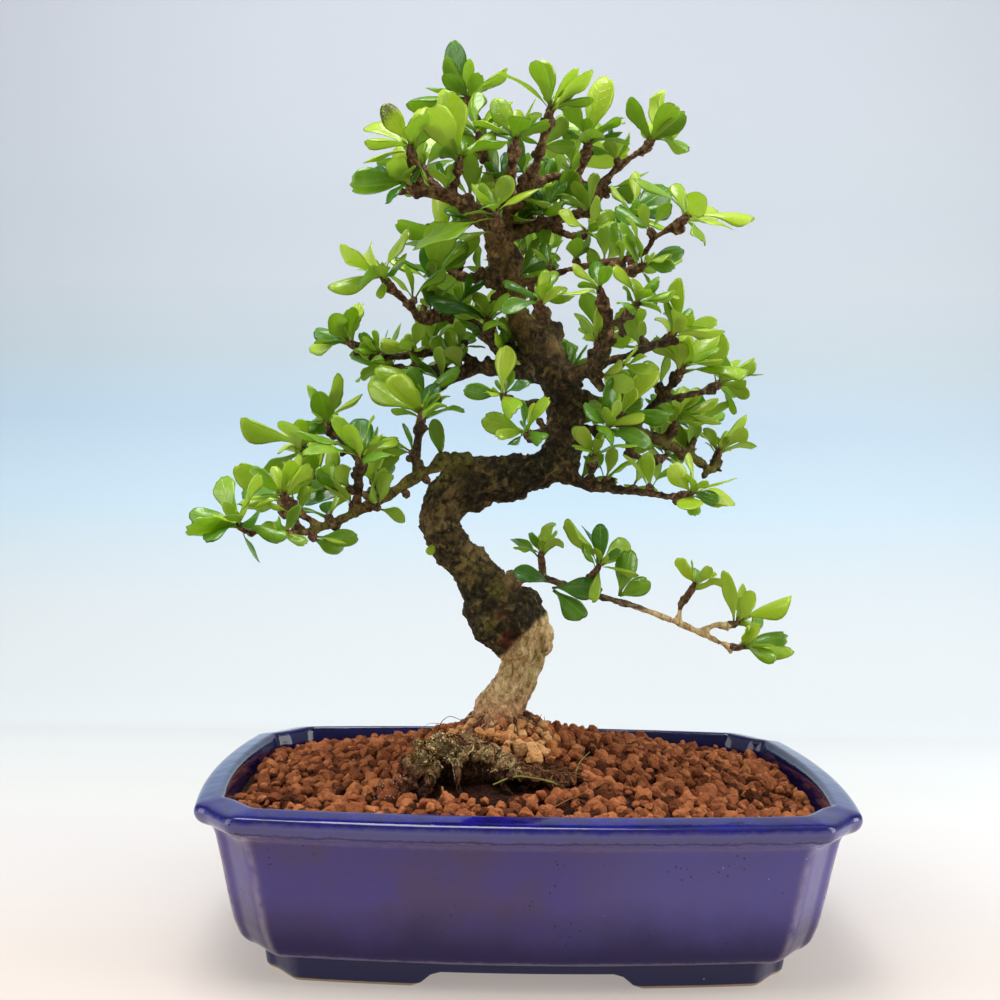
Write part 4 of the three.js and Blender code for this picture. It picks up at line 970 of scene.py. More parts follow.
def limb_skin(name, route, rng):
    """The skin of one limb, knotted along its run, and its radius at each place."""
    thick = route[:, 3].max() > OLD_WOOD
    seed, run = rng.uniform(0, 50), run_along(route)
    size = route[:, 3] * 0.97
    if not thick:
        slim = 1.0 if name in BELOW_GROUND + ('leader',) else SLIM.get(name, SLIM_OTHERS)
        knot = wobble(np.column_stack([run, run * 0, run * 0]), 3.4, seed)
        size = route[:, 3] * slim * (0.97 + 0.42 * knot)
    if name in SPRAYS:
        swell = 0.35 if name.startswith('low_right') else 1.3
        ends = np.exp(-((run[-1] - run) / 3.2) ** 2)
        size = size + ends * (swell + 0.25 * np.maximum(0, 3 - route[:, 3]))
    pitch, relief, sides = (11, 0.17, 20) if thick else (4, 0.16, 12)

    def reach(index, angles):
        ring = np.column_stack([np.cos(angles) * 1.3, np.sin(angles) * 1.3,
                                np.full(len(angles), run[index] / pitch)])
        return size[index] * (1 + relief * wobble(ring, 1.0, seed))

    return tube(route, sides, reach), size, thick


def add_knobs(heap, name, route, size, rng):
    """Knobs all along a limb, short spurs on it, and a cluster of knobs where its shoot stands."""
    spacing = 4.5 if name.startswith('low_right') else 2.1
    for _ in range(int(len(route) / spacing)):
        index = rng.integers(1, len(route))
        around = min(size[index], 4.4)
        bump = BALL[0] * rng.uniform(0.42, 0.8, 3) * max(around, 1.5)
        heap.take(bump + route[index, :3] + unit(rng.normal(size=3)) * size[index] * 0.85, BALL[1])
    if not name.startswith(('low_right', 'thin_right')):
        for _ in range(int(run_along(route)[-1] / SPUR_SPACING)):
            index = rng.integers(2, len(route))
            out = unit(rng.normal(size=3) + UP * 0.5)
            root, tall = route[index, :3], size[index] + rng.uniform(1.5, 4.5)
            spur = [[*(root + out * tall * share), radius] for share, radius in SPUR_RADII]
            heap.take(*plain_tube(limb_route(np.array(spur), 0.9), 10))
            heap.take(BALL[0] * rng.uniform(1.3, 2.1, 3) + root + out * tall, BALL[1])
    if name in SPRAYS:
        for _ in range(5):
            bump = BALL[0] * rng.uniform(0.7, 1.25, 3)
            place = route[-1, :3] - (route[-1, :3] - route[-3, :3]) * rng.uniform(0, 1.6)
            heap.take(bump + place + unit(rng.normal(size=3)) * size[-1] * 0.9, BALL[1])


def make_wood(material, routes):
    rng = np.random.default_rng(5)
    heap = Heap()
    for name, route in routes.items():
        skin, size, thick = limb_skin(name, route, rng)
        heap.take(*skin)
        if not thick and name not in BELOW_GROUND:
            add_knobs(heap, name, route, size, rng)
    for centre, reach in SWELLINGS:
        heap.take(BALL_FINE[0] * np.array(reach) + np.array(centre), BALL_FINE[1])
    for places in STUBS:
        stub = limb_route(np.array(places, dtype=float), 0.9)
        heap.take(*tube(stub, 14, lambda index, angles: stub[index, 3] * (1 + 0.06 * np.cos(3 * angles))))
    wood = new_piece('wood', heap.mesh('wood', material), ['trunk_and_branches'])
    dress_wood(remeshed(wood, material, 1.02), routes)


def dress_wood(mesh, routes):
    """Bark relief along each limb, and marks that tell the zones of colour apart."""
    samples = np.concatenate(list(routes.values()))
    heading = np.concatenate([np.gradient(route[:, :3], axis=0) for route in routes.values()])
    heading /= np.linalg.norm(heading, axis=1)[:, None]
    tree = tree_of(samples[:, :3])
    points, normals = points_of(mesh), normals_of(mesh)
    near = np.empty(len(points), dtype=int)
    for i, p in enumerate(points):
        best = min(tree.find_n(Vector(p), 4), key=lambda found: found[2] - 0.8 * samples[found[1]][3])
        near[i] = best[1]
    radius = samples[near, 3]
    along = heading[near]
    run = (points * along).sum(axis=1)
    flat = points - along * (run * 0.62)[:, None]
    thick = smooth(3, 7.5, radius)
    cracks = 1 - np.abs(wobble(flat, 3.2, 3)) * 2.2
    lumps = wobble(points, 6.5, 4)
    scabs = wobble(points, 2.6, 7)
    crust = wobble(points, 1.5, 8)
    grain = wobble(flat, 1.4, 5)
    x, _, z = points.T
    edge = PALE_EDGE_Z + PALE_SLOPE * (x - PALE_EDGE_X) - z + 2.5 * lumps
    neck = smooth(-1.2, 1.2, edge) * smooth(84, 90, z) * (z < 136) * (x > -32)
    rough = thick * (1 - 0.8 * neck)
    depth = rough * (-0.7 * smooth(0.55, 1, cracks) + 1.2 * lumps + 1.3 * np.maximum(scabs, -0.1)
                     + 0.9 * np.maximum(crust, 0))
    depth += (0.16 + 0.16 * thick) * grain
    depth += thick * neck * (0.9 * lumps + 0.6 * np.maximum(scabs, -0.2) + 0.5 * np.maximum(crust, 0))
    depth += (1 - thick) * (0.3 * wobble(points, 1.8, 6) + 0.5 * np.maximum(scabs, 0))
    skirt = smooth(94, 84, z) * smooth(4, 9, radius)
    turn = np.arctan2(points[:, 1] - 3, x + 9)
    depth += skirt * (0.9 * np.abs(np.sin(turn * 6 + 2.2 * lumps)) + 0.5 * scabs - 0.2)
    set_points(mesh, points + normals * depth[:, None])
    bulge = smooth(1.5, -2.5, edge) * smooth(152, 138, z) * smooth(100, 112, z)
    bend = smooth(176, 186, z) * smooth(262, 246, z)
    low_right = np.maximum(patch(points, (-2, -12, 146), (5, 7, 4)),
                           trail(points, LOW_RIGHT_RUN, (8, 6, 5.5)))
    moss = 0.8 * patch(points, (-38, -1, 189), (7, 9, 6)) + 0.9 * trail(points, GREEN_RUN, (6, 7, 4.5))
    put_marks(mesh, clipped({
        'thick': thick,
        # Dark bark cracks, and a patch of painted shade on the front of the trunk's left bend.
        'cracks_and_shade': smooth(0.55, 0.95, cracks) * rough + 0.4 * patch(points, (-22, -4, 182), (13, 9, 7)),
        'neck': neck,
        'pale': patches(points, PALE_SPOTS),
        'moss': moss + patches(points, MOSS_SPOTS),
        'grey': 1.6 * low_right,
        'red': patches(points, RED_SPOTS),
        'golden': patches(points, GOLDEN_SPOTS),
        # Darker bark on the bulge and the upper trunk, and painted shade at the left bend.
        'dark': bulge + 0.9 * bend + patch(points, *BEND_SHADE_SPOT),
        'foot': smooth(101, 90, z + 3 * scabs) * smooth(3, 7, radius),
    }))


def bark_look():
    look = Look('bark')
    broad, blotch = look.noise(9, 4, 0.6), look.noise(5.5, 3, 0.55, distortion=0.6)
    spots, fine = look.noise(2.4, 5, 0.65), look.noise(0.7, 4, 0.65)
    old = look.ramp(spots, (0.28, '130e06'), (0.44, '302813'), (0.58, '544524'), (0.78, '7c6a3e'))
    old = look.mix(look.times(look.span(blotch, 0.54, 0.6), 0.85), old,
                   look.ramp(fine, (0.3, '6a5731'), (0.7, '96814c')))
    twig = look.ramp(spots, (0.3, '180e07'), (0.44, '412a17'), (0.57, '755636'), (0.72, 'b08e62'))
    colour = look.mix(look.mark('thick'), twig, old)
    dark = look.ramp(spots, (0.3, '0d0a05'), (0.48, '2a2413'), (0.62, '4a4124'), (0.8, '6b5d38'))
    # The dark mark holds painted shade at the trunk's left bend as well as darker bark.
    colour = look.mix(look.times(look.mark('dark'), look.span(blotch, 0.68, 0.5), 0.92), colour, dark)
    colour = look.mix(look.times(look.mark('pale'), look.span(broad, 0.3, 0.5), 0.95), colour,
                      look.ramp(fine, (0.3, '755c3a'), (0.7, 'a58a5a')))
    colour = look.mix(look.times(look.mark('grey'), look.span(spots, 0.3, 0.42)), colour,
                      look.ramp(spots, (0.36, '3f3321'), (0.5, '6f5d40'), (0.66, 'ab9770')))
    colour = look.mix(look.times(look.mark('golden'), look.span(blotch, 0.38, 0.58), 0.8), colour,
                      look.ramp(fine, (0.3, '4c3814'), (0.7, '7f642f')))
    streaks = look.noise(2.6, 5, 0.72, vector=look.stretched(1.0, 1.0, 0.45), distortion=0.8)
    skin = look.ramp(streaks, (0.3, '4e3822'), (0.39, '93774a'), (0.51, 'd0b07a'), (0.68, 'f6dfae'))
    skin = look.mix(look.times(look.span(blotch, 0.54, 0.64), 0.35), skin, '80783e')
    skin = look.mix(look.times(look.span(spots, 0.42, 0.32), 0.6), skin, '543c25')
    colour = look.mix(look.mark('neck'), colour, skin)
    colour = look.mix(look.times(look.mark('moss'), look.span(spots, 0.3, 0.55), 0.9), colour,
                      look.ramp(fine, (0.3, '4b4a1c'), (0.55, '7d782f'), (0.75, 'a39c4c')))
    colour = look.mix(look.times(look.mark('red'), look.span(spots, 0.3, 0.5), 0.9), colour, '5e2213')
    colour = look.mix(look.times(look.mark('foot'), look.span(fine, 0.25, 0.6), 0.85), colour,
                      look.ramp(spots, (0.32, '3f1f15'), (0.44, '844c36'), (0.56, 'ba8260'), (0.7, 'e6bc94')))
    # Near-black in the cracks, and painted shade at the trunk's left bend.
    colour = look.mix(look.times(look.mark('cracks_and_shade'), 0.8), colour, '0b0805')
    normal = look.bump(fine, 0.45, 1.0, look.bump(spots, 1.0, 0.8))
    return look.done(look.surface(colour, 0.85, normal, Specular_IOR_Level=0.25))


# Root mass: a broken crest of old roots in front of the trunk, hollow below, mossy on its left end
ROOT_CENTRE = vec(-19, -25, 66)
ROOT_REACH = vec(34, 23, 17)
ROOT_FOOT = 56
CREST = [(-46, -43, 68, 2.4), (-42, -39, 75, 3.6), (-37.5, -37, 79.5, 4.3), (-32, -36, 81.5, 4.5),
         (-25, -35, 82, 4.4), (-18, -36, 79.5, 3.8), (-10, -40, 75.5, 3.2), (0, -42.5, 72, 2.7),
         (9, -41, 70.5, 2.4), (18, -37, 69, 2.2)]
ROOT_LEGS = [[(-40, -41, 77, 3.0), (-44.5, -44, 70, 2.5), (-48, -45, 61, 1.9)],
             [(-35, -43, 76, 2.4), (-39, -48, 69, 1.8), (-42, -50, 61, 1.3)],
             [(-28, -42, 77, 1.8), (-27, -47, 71, 1.3), (-25, -49, 62, 0.9)],
             [(-13, -42, 74, 1.8), (-9, -46, 69, 1.3), (-5, -48, 62, 0.9)],
             [(8, -43, 70, 1.8), (14, -45, 67, 1.4), (20, -45, 62, 1.0)]]
LOG = [(-22, -32, 82.5, 3.2), (-17, -35, 81.5, 3.0), (-11, -39.5, 79, 2.6), (-5, -43.5, 74.5, 2.0)]
HOLLOWS = [(-11, (-24, -48, 66), (20, 9, 7)), (-9, (4, -45, 66), (19, 8, 5.5))]
ROOT_MOSS = [(1.3, (-39, -39, 81), (8, 9, 6)), (0.9, (-29, -38, 80), (8, 8, 6)),
             (0.5, (-16, -40, 76), (8, 7, 5))]
ROOT_SHADE = [(1.3, (-26, -46, 67), (21, 11, 6)), (1.2, (3, -43, 67), (19, 9, 4.5))]

# Roots that lie bare in front of the mass, with a tone for each
BARE_ROOTS = [([(-13.6, -48, 69.5, 0.35), (-5, -46.5, 72.4, 0.42), (4.7, -46, 71.4, 0.42),
                (12, -45.4, 69.3, 0.36), (17.5, -44, 66.8, 0.22)], 0.48),
              ([(-33, -50, 69, 0.4), (-32, -52, 66, 0.35), (-28, -54, 64, 0.25)], 0.4)]
# Root fibres on the front of the mass, and a mat of them round one place on its right
FIBRES, MAT_FIBRES, LOOSE_FIBRES_RIGHT = 360, 120, 130
FIBRE_TONES = [(0, 0.25), (0.25, 0.45), (0.6, 0.8)]
FIBRE_SHARES = [0.55, 0.33, 0.12]
MAT_PLACE, MAT_REACH, MAT_BOTTOM = (9, -36), 11, 64
CREST_CRUMBS = 230
MOSS_NUBS, MOSS_BLADES = 1300, 420


def root_height(x, y):
    inside = 1 - ((x - ROOT_CENTRE[0]) / ROOT_REACH[0]) ** 2 - ((y - ROOT_CENTRE[1]) / ROOT_REACH[1]) ** 2
    return ROOT_CENTRE[2] + ROOT_REACH[2] * math.sqrt(max(inside, 0))


def strand(heap, places, start, end, mark, sides=4, step=1.5):
    radii = np.linspace(start, end, len(places))
    route = limb_route(np.column_stack([np.array(places, dtype=float), radii]), step)
    heap.take(*plain_tube(route, sides), mark)


def lumpy(heap, places, rng, mark=0.0):
    route = limb_route(np.array(places, dtype=float), 1.2)
    seed = rng.uniform(0, 50)

    def reach(index, angles):
        ring = np.column_stack([np.cos(angles), np.sin(angles), np.full(len(angles), index * 0.45)])
        return route[index, 3] * (1 + 0.5 * wobble(ring, 1.0, seed))

    heap.take(*tube(route, 12, reach), mark)
    return route


def root_body(material, rng):
    rows, columns = 50, 90
    tilt = np.linspace(0.02, math.pi - 0.02, rows)
    turn = np.linspace(0, 2 * math.pi, columns, endpoint=False)
    ring = np.array([[(math.sin(a) * math.cos(b), math.sin(a) * math.sin(b), -math.cos(a)) for b in turn]
                     for a in tilt]).reshape(-1, 3)
    plain = ROOT_CENTRE + vec(2, 0, -1) + ring * ROOT_REACH * vec(0.9, 0.96, 0.95)
    facing = ring / ROOT_REACH
    facing /= np.linalg.norm(facing, axis=1)[:, None]
    push = patches(plain, HOLLOWS) - (2.0 + 2.5 * patch(plain, (-30, -44, 78), (22, 10, 6)))
    points = plain + facing * np.where(plain[:, 2] < ROOT_FOOT - 2, 0, push)[:, None]
    points = np.concatenate([points, [ROOT_CENTRE - UP * 17], [ROOT_CENTRE + UP * 15]])
    total = rows * columns
    heap = Heap()
    heap.take(points, grid_faces(rows, columns, True) + close_ends(rows, columns, total, total + 1))
    crest = lumpy(heap, CREST, rng)
    for _ in range(CREST_CRUMBS):
        at = crest[rng.integers(len(crest))]
        place = at[:3] + rng.normal(size=3) * at[3] * vec(0.6, 0.75, 0.55)
        heap.take(granule(rng, at[3] * rng.uniform(0.3, 0.7), BALL) + place, BALL[1])
    for leg in ROOT_LEGS + [LOG]:
        lumpy(heap, leg, rng)
    body = new_piece('root_mass_body', heap.mesh('root_mass_body', material), ['root_mass'])
    mesh = remeshed(body, material, 0.85)
    points, normals = points_of(mesh), normals_of(mesh)
    depth = 1.0 * wobble(points, 4.5, 8) + 0.9 * np.abs(wobble(points, 2.3, 9)) - 0.25
    depth += 0.5 * wobble(points * vec(1, 1, 0.5), 1.3, 10)
    points = points + normals * np.where(points[:, 2] < ROOT_FOOT, 0, depth)[:, None]
    set_points(mesh, points)
    log = limb_route(np.array(LOG, dtype=float), 1.0)[::2, :3] + vec(0, -2, 1)
    moss = patches(points, ROOT_MOSS)
    put_marks(mesh, clipped({
        'moss': moss,
        'cream': trail(points, log, (3.6, 3.6, 2.8)) + 0.4 * patch(points, (-38, -41, 79), (9, 6, 4)),
        # Painted shade in the hollows under the crest, and the mass darker towards its foot.
        'dark': patches(points, ROOT_SHADE) + 0.8 * smooth(66, 61, points[:, 2]),
    }))
    return points, normals_of(mesh), moss


def creep(heap, tree, normals, foot, rng, steps, sink, tone, thick):
    """One root fibre that follows the surface, drawn downwards a little."""
    place = vec(*foot)
    heading = rng.normal(size=3)
    places = []
    for _ in range(steps):
        near, index, _ = tree.find(Vector(place))
        out = normals[index]
        places.append(vec(*near) + out * rng.uniform(0.05, 0.55))
        heading = unit(heading) + rng.normal(scale=0.4, size=3) - UP * sink
        heading = heading - out * (heading @ out)
        place = places[-1] + unit(heading) * rng.uniform(1.1, 2.0)
    if rng.uniform() < 0.3:
        places[-1] = places[-1] + normals[index] * rng.uniform(0.5, 1.6)
    strand(heap, places, thick, 0.1, tone)


def make_root_mass(material, moss_material):
    rng = np.random.default_rng(31)
    points, normals, moss = root_body(material, rng)
    tree = tree_of(points)
    strands = Heap()
    for places, tone in BARE_ROOTS:
        lumpy(strands, places, rng, tone)
    front = np.where((points[:, 2] > 60) & (normals[:, 1] < 0.35) & (points[:, 1] < -26))[0]
    for _ in range(FIBRES):
        tone = rng.choice([rng.uniform(*tones) for tones in FIBRE_TONES], p=FIBRE_SHARES)
        foot = points[rng.choice(front)]
        # Fibres that start low, in the hollows under the crest, are darker: painted shade.
        tone = tone * (1 - 0.75 * float(smooth(76, 70, foot[2])))
        creep(strands, tree, normals, foot, rng, int(rng.integers(4, 9)), 0.35, tone, rng.uniform(0.16, 0.4))
    off = np.hypot(points[:, 0] - MAT_PLACE[0], points[:, 1] - MAT_PLACE[1])
    mat = np.where((off < MAT_REACH) & (points[:, 2] > MAT_BOTTOM))[0]
    for _ in range(MAT_FIBRES):
        creep(strands, tree, normals, points[rng.choice(mat)], rng, 6, 0.0, rng.uniform(0, 0.45),
              rng.uniform(0.14, 0.3))
    for _ in range(LOOSE_FIBRES_RIGHT):
        at = vec(rng.normal(14, 4), rng.normal(-35, 3.5), 0)
        at[2] = soil_height(at[0], at[1]) + rng.uniform(0.8, 2.2)
        places = [at + rng.normal(size=3) * step * vec(0.9, 0.9, 0.25) for step in (0, 1, 1.8, 2.6)]
        strand(strands, places, rng.uniform(0.16, 0.3), 0.1, rng.uniform(0, 0.4))
    mesh = strands.mesh('root_mass_strands', moss_material)
    new_piece('root_mass_strands', mesh, ['root_mass'])
    make_moss(moss_material, points, normals, moss, rng)


def make_moss(material, points, normals, moss, rng):
    """Small nubs and blades of moss on the high left end of the mass."""
    tufts = Heap()
    high = np.where((moss > 0.35) & (points[:, 2] > 73) & (normals[:, 2] > -0.2))[0]
    for _ in range(MOSS_NUBS):
        foot = points[rng.choice(high)] + rng.normal(scale=0.3, size=3)
        nub = BALL_PLAIN[0] * rng.uniform(0.15, 0.38) * rng.uniform(0.4, 1.7, (len(BALL_PLAIN[0]), 1))
        nub = nub * rng.uniform(0.6, 1.6, 3)
        tufts.take(nub + foot, BALL_PLAIN[1], rng.beta(1.3, 1.7))
    for _ in range(MOSS_BLADES):
        index = rng.choice(high)
        lean = unit(rng.normal(size=3) * 0.8 + normals[index])
        side = unit(np.cross(lean, rng.normal(size=3))) * rng.uniform(0.08, 0.15)
        foot = points[index] - lean * 0.3
        tip = foot + lean * rng.uniform(0.7, 1.5)
        tufts.take([foot - side, foot + side, foot + np.cross(lean, side), tip],
                   [(0, 1, 3), (1, 2, 3), (2, 0, 3), (0, 2, 1)], rng.uniform(0.3, 0.85))
    new_piece('root_mass_moss', tufts.mesh('root_mass_moss', material), ['root_mass'])


def root_look():
    look = Look('root_mass')
    strands = look.noise(1.7, 5, 0.72, vector=look.stretched(1.0, 1.0, 0.5), distortion=0.9)
    broad, fine = look.noise(6, 3, 0.6), look.noise(0.6, 4, 0.7)
    colour = look.ramp(strands, (0.32, '1a0d07'), (0.42, '442416'), (0.52, '774a30'), (0.62, 'a5764e'),
                       (0.76, 'd8b486'))
    colour = look.mix(look.times(look.mark('moss'), look.span(broad, 0.36, 0.54), 0.9), colour,
                      look.ramp(fine, (0.3, '4c3018'), (0.42, '807040'), (0.54, 'b8a870'), (0.68, 'ecdcac')))
    colour = look.mix(look.times(look.mark('cream'), look.span(strands, 0.42, 0.56), 0.85), colour,
                      look.ramp(fine, (0.32, '74582f'), (0.46, 'c0a36a'), (0.62, 'f2dba4')))
    # Painted shade in the root mass's hollows, and darker towards its foot.
    colour = look.mix(look.times(look.mark('dark'), 0.92), colour,
                      look.ramp(strands, (0.4, '0f0704'), (0.62, '3a1d12')))
    normal = look.bump(fine, 0.5, 1.0, look.bump(strands, 1.3, 1.0))
    return look.done(look.surface(colour, 0.92, normal, Specular_IOR_Level=0.2))


def moss_look():
    look = Look('moss')
    fine = look.noise(0.8, 3, 0.6)
    colour = look.ramp(look.mark('tone'), (0.0, '26140b'), (0.2, '57331f'), (0.36, '8a5a38'),
                       (0.46, '6f6c30'), (0.56, '9a9450'), (0.72, 'cbb684'), (1.0, 'f4e6be'))
    colour = look.mix(look.times(look.span(fine, 0.5, 0.7), 0.45), colour, '2e1d11')
    return look.done(look.surface(colour, 0.88, look.bump(fine, 0.3, 0.8), Specular_IOR_Level=0.2))


# Small things that lie or grow on the soil: places, radius at both ends, tone, sides, step
LITTER = [([(8.4, -66, 65.4), (15, -59, 67), (24, -50, 68.6), (31.4, -42.5, 70.8)], 0.22, 0.14, 0.34, 6),
          ([(17, -57, 67.6), (20, -58, 66.4), (22, -60, 65.6)], 0.14, 0.1, 0.34),
          ([(18.7, -39.5, 69.6), (19.6, -33, 72), (21.5, -26, 74), (26.2, -16, 76)], 0.3, 0.14, 0.52, 5)]
LOOSE_FIBRES = [([(-36.5, -6, 82), (-35, -6, 85.6), (-31.6, -5, 87.8), (-27, -4, 86)],
                 0.2, 0.12, 0.1, 5, 0.9),
                ([(-35, -5, 84.6), (-40, -7, 85), (-43, -8, 83)], 0.12, 0.07, 0.1, 4, 0.9),
                ([(5.1, 2, 83), (6.0, 2, 86), (7.0, 1, 88.2)], 0.2, 0.1, 0.1, 5, 0.9),
                ([(7.5, 1, 83), (8.2, 0, 85.6), (8.0, -1, 87.6)], 0.16, 0.08, 0.1, 4, 0.9)]
FOOT_FIBRES, CRYSTALS = 320, 90


def make_litter(material, fibre_material, crystal_material):
    rng = np.random.default_rng(41)
    litter = Heap()
    for item in LITTER:
        strand(litter, *item)
    new_piece('litter', litter.mesh('litter', material))
    fibres = Heap()
    for item in LOOSE_FIBRES:
        strand(fibres, *item)
    for _ in range(FOOT_FIBRES):
        turn = rng.uniform(0, 2 * math.pi)
        aim = vec(math.cos(turn), math.sin(turn), 0)
        slant = vec(-math.sin(turn), math.cos(turn), 0) * rng.normal(scale=3.5)
        away = rng.uniform(2, 7)
        near = vec(-10, 3, 0) + aim * vec(11, 9.5, 0)
        near[2] = rng.uniform(83, 89)
        places = [near - aim * 1.5, near]
        for share in (0.4, 0.75, 1.0):
            spot = near + (aim * away + slant) * share + rng.normal(scale=0.8, size=3)
            ground = soil_height(spot[0], spot[1]) + rng.uniform(0.2, 1.6)
            spot[2] = max(ground, near[2] + (ground - near[2]) * share)
            places.append(spot)
        strand(fibres, places, rng.uniform(0.16, 0.4), 0.12, rng.uniform(0.1, 1.0))
    new_piece('foot_fibres', fibres.mesh('foot_fibres', fibre_material))
    crystals = Heap()
    for _ in range(CRYSTALS):
        at = vec(rng.normal(-51, 5), rng.normal(-38, 7), 0)
        at[2] = soil_height(at[0], at[1]) + rng.uniform(-0.2, 1.4)
        nub = BALL_PLAIN[0] * rng.uniform(0.12, 0.3) * rng.uniform(0.6, 1.4, 3)
        crystals.take(nub + at, BALL_PLAIN[1], 1.0)
    new_piece('crystals', crystals.mesh('crystals', crystal_material))


def fibre_look():
    look = Look('fibres')
    fine = look.noise(0.9, 3, 0.6)
    colour = look.ramp(look.mark('tone'), (0.0, '28160e'), (0.35, '61382a'), (0.7, '9a694c'), (1.0, 'c79c74'))
    colour = look.mix(look.times(look.span(fine, 0.5, 0.7), 0.5), colour, '2c180f')
    return look.done(look.surface(colour, 0.85, look.bump(fine, 0.3, 0.8), Specular_IOR_Level=0.2))


def crystal_look():
    look = Look('crystal')
    colour = look.mix(look.noise(1.0, 3, 0.6), 'b5aea2', 'e2dcd2')
    return look.done(look.surface(colour, 0.5))


# Leafy sprays. The part's own placing is run again with the same numbers, and a leaf is kept where
# the part has its tip.
STEM_LENGTH = 5.4
STEM_RINGS = [(0, 1.3), (0.24, 1.6), (0.62, 1.6), (1, 1.3)]
STEM_RISE = 0.7
BLADE_ARCH = 0.07
GOLDEN_ANGLE = 2.399963
TRIES = 50
TIP_LIFT = 0.3
TIP_SLACK = 0.06


class Slot:
    def __init__(self, corners):
        a, b, c, d = corners
        self.centre = (a + b + c + d) * 0.25
        self.up = unit((c + d) - (a + b))
        self.facing = unit(np.cross(b - a, d - a))
        self.taken = False


def square_to(along):
    return unit(np.cross(along, vec(0.2, -1, 0.1) if abs(along[1]) < 0.7 else vec(1, 0.2, 0.1)))


class Stem:
    """A short shoot at the end of a limb, bent towards the light, with its places for leaves."""

    def __init__(self, name):
        limb = LIMBS[name][:, :3]
        self.limb_along = unit(limb[-1] - limb[-2])
        self.along = unit(self.limb_along + UP * STEM_RISE)
        self.foot = limb[-1] + self.limb_along * (GAP + 0.05)
        upright = square_to(self.along)
        rings = []
        for level, (share, radius) in enumerate(STEM_RINGS):
            facing = self.limb_along if level == 0 else self.along
            across = unit(upright - facing * (upright @ facing))
            other = np.cross(facing, across)
            centre = self.foot + self.along * STEM_LENGTH * share
            rings.append([centre + across * radius * math.cos(a) + other * radius * math.sin(a)
                          for a in (0, math.pi / 2, math.pi, 1.5 * math.pi)])
        self.slots = []
        for level in (1, 2):
            for corner in range(4):
                after = (corner + 1) % 4
                self.slots.append(Slot([rings[level][corner], rings[level][after],
                                        rings[level + 1][after], rings[level + 1][corner]]))
        self.slots.append(Slot(rings[3]))
        self.blades = []

    def facing_slot(self, along):
        free = [slot for slot in self.slots if not slot.taken]
        return max(free, key=lambda slot: slot.facing @ along) if free else None


class Blade:
    def __init__(self, slot, tip):
        chord = tip - slot.centre
        self.foot, self.tip = slot.centre, tip
        self.length = math.sqrt(chord @ chord)
        self.along = chord / self.length
        self.upper = unit(slot.up - self.along * (slot.up @ self.along))
        self.side = np.cross(self.upper, self.along)
        self.slot = slot


def recover_blades():
    stems = {name: Stem(name) for name in SPRAYS}
    shapes = {name: tree_of(points_of(nodes['spray_' + name].data)) for name in SPRAYS}

    def keep(name, blade):
        for lift in (-TIP_LIFT, TIP_LIFT):
            if shapes[name].find(Vector(blade.tip + blade.upper * lift))[2] > TIP_SLACK:
                return False
        blade.slot.taken = True
        stems[name].blades.append(blade)
        return True

    for index, (name, (_, _, tips)) in enumerate(SPRAYS.items()):
        draw, stem = seeded(500 + index), stems[name]
        for tip in tips:
            for attempt in range(TRIES):
                sway = vec(draw() - 0.5, draw() - 0.5, draw() - 0.5)
                reach = vec(*tip) - stem.foot
                aim = vec(*tip) + sway * (math.sqrt(reach @ reach) * 0.035 * attempt)
                slot = stem.facing_slot(unit(aim - stem.foot))
                if slot is not None and keep(name, Blade(slot, aim)):
                    break
    for index, (name, (leaves, length, tips)) in enumerate(SPRAYS.items()):
        draw, stem = seeded(900 + index), stems[name]
        count = leaves + 1 - math.ceil(len(tips) / 2)
        across = square_to(stem.along)
        other = np.cross(stem.along, across)
        start = 2 * math.pi * draw()
        for place in range(count):
            for attempt in range(TRIES):
                turn = start + place * GOLDEN_ANGLE + 0.24 * attempt * (draw() - 0.5)
                lean = 1.35 - 0.75 * place / count + 0.5 * (draw() - 0.5)
                shrink = (1.14 - 0.32 * place / count) * (1 - 0.012 * attempt)
                size = length * shrink * (0.88 + 0.24 * draw())
                level = across * math.cos(turn) + other * math.sin(turn)
                raised = stem.along * math.cos(lean) + level * math.sin(lean)
                along = unit(raised + UP * 0.2)
                slot = stem.facing_slot(along)
                if slot is not None and keep(name, Blade(slot, slot.centre + along * size)):
                    break
    return stems


# A leaf: rows run from its stalk to its toothed end, and columns run across it.
def leaf_template(rows, columns):
    u = np.concatenate([np.linspace(0, 0.92, rows) ** 0.9, [1.0]])
    v = np.sin(np.linspace(-1, 1, columns + 1) * 1.25) / math.sin(1.25)
    grid_u, grid_v = [a.ravel() for a in np.meshgrid(u, v, indexing='ij')]
    width = columns + 1
    row = np.repeat(np.arange(rows + 1), width)
    column = np.tile(np.arange(width), rows + 1)
    edge = (row == 0) | (row == rows) | (column == 0) | (column == columns)
    inner = np.where(~edge)[0]
    below = np.arange(len(grid_u))
    below[inner] = len(grid_u) + np.arange(len(inner))
    top = [(i, i + 1, i + width + 1, i + width)
           for r in range(rows) for i in range(r * width, r * width + columns)]
    bottom = [tuple(int(below[i]) for i in reversed(face)) for face in top]
    source = np.concatenate([np.arange(len(grid_u)), inner])
    lift = np.concatenate([np.where(edge, 0.0, 1.0), np.full(len(inner), -1.0)])
    return grid_u[source], grid_v[source], lift, column[source], top, bottom


LEAF = leaf_template(8, 8)
BUD = leaf_template(5, 4)
END_SHARE = 0.85
STALK = 0.026
HALF_THICKNESS = 0.16
GROOVE = 0.13
# No leaf passes the part's own box
LIMITS = vec(131.0, 92.6, 376.9)


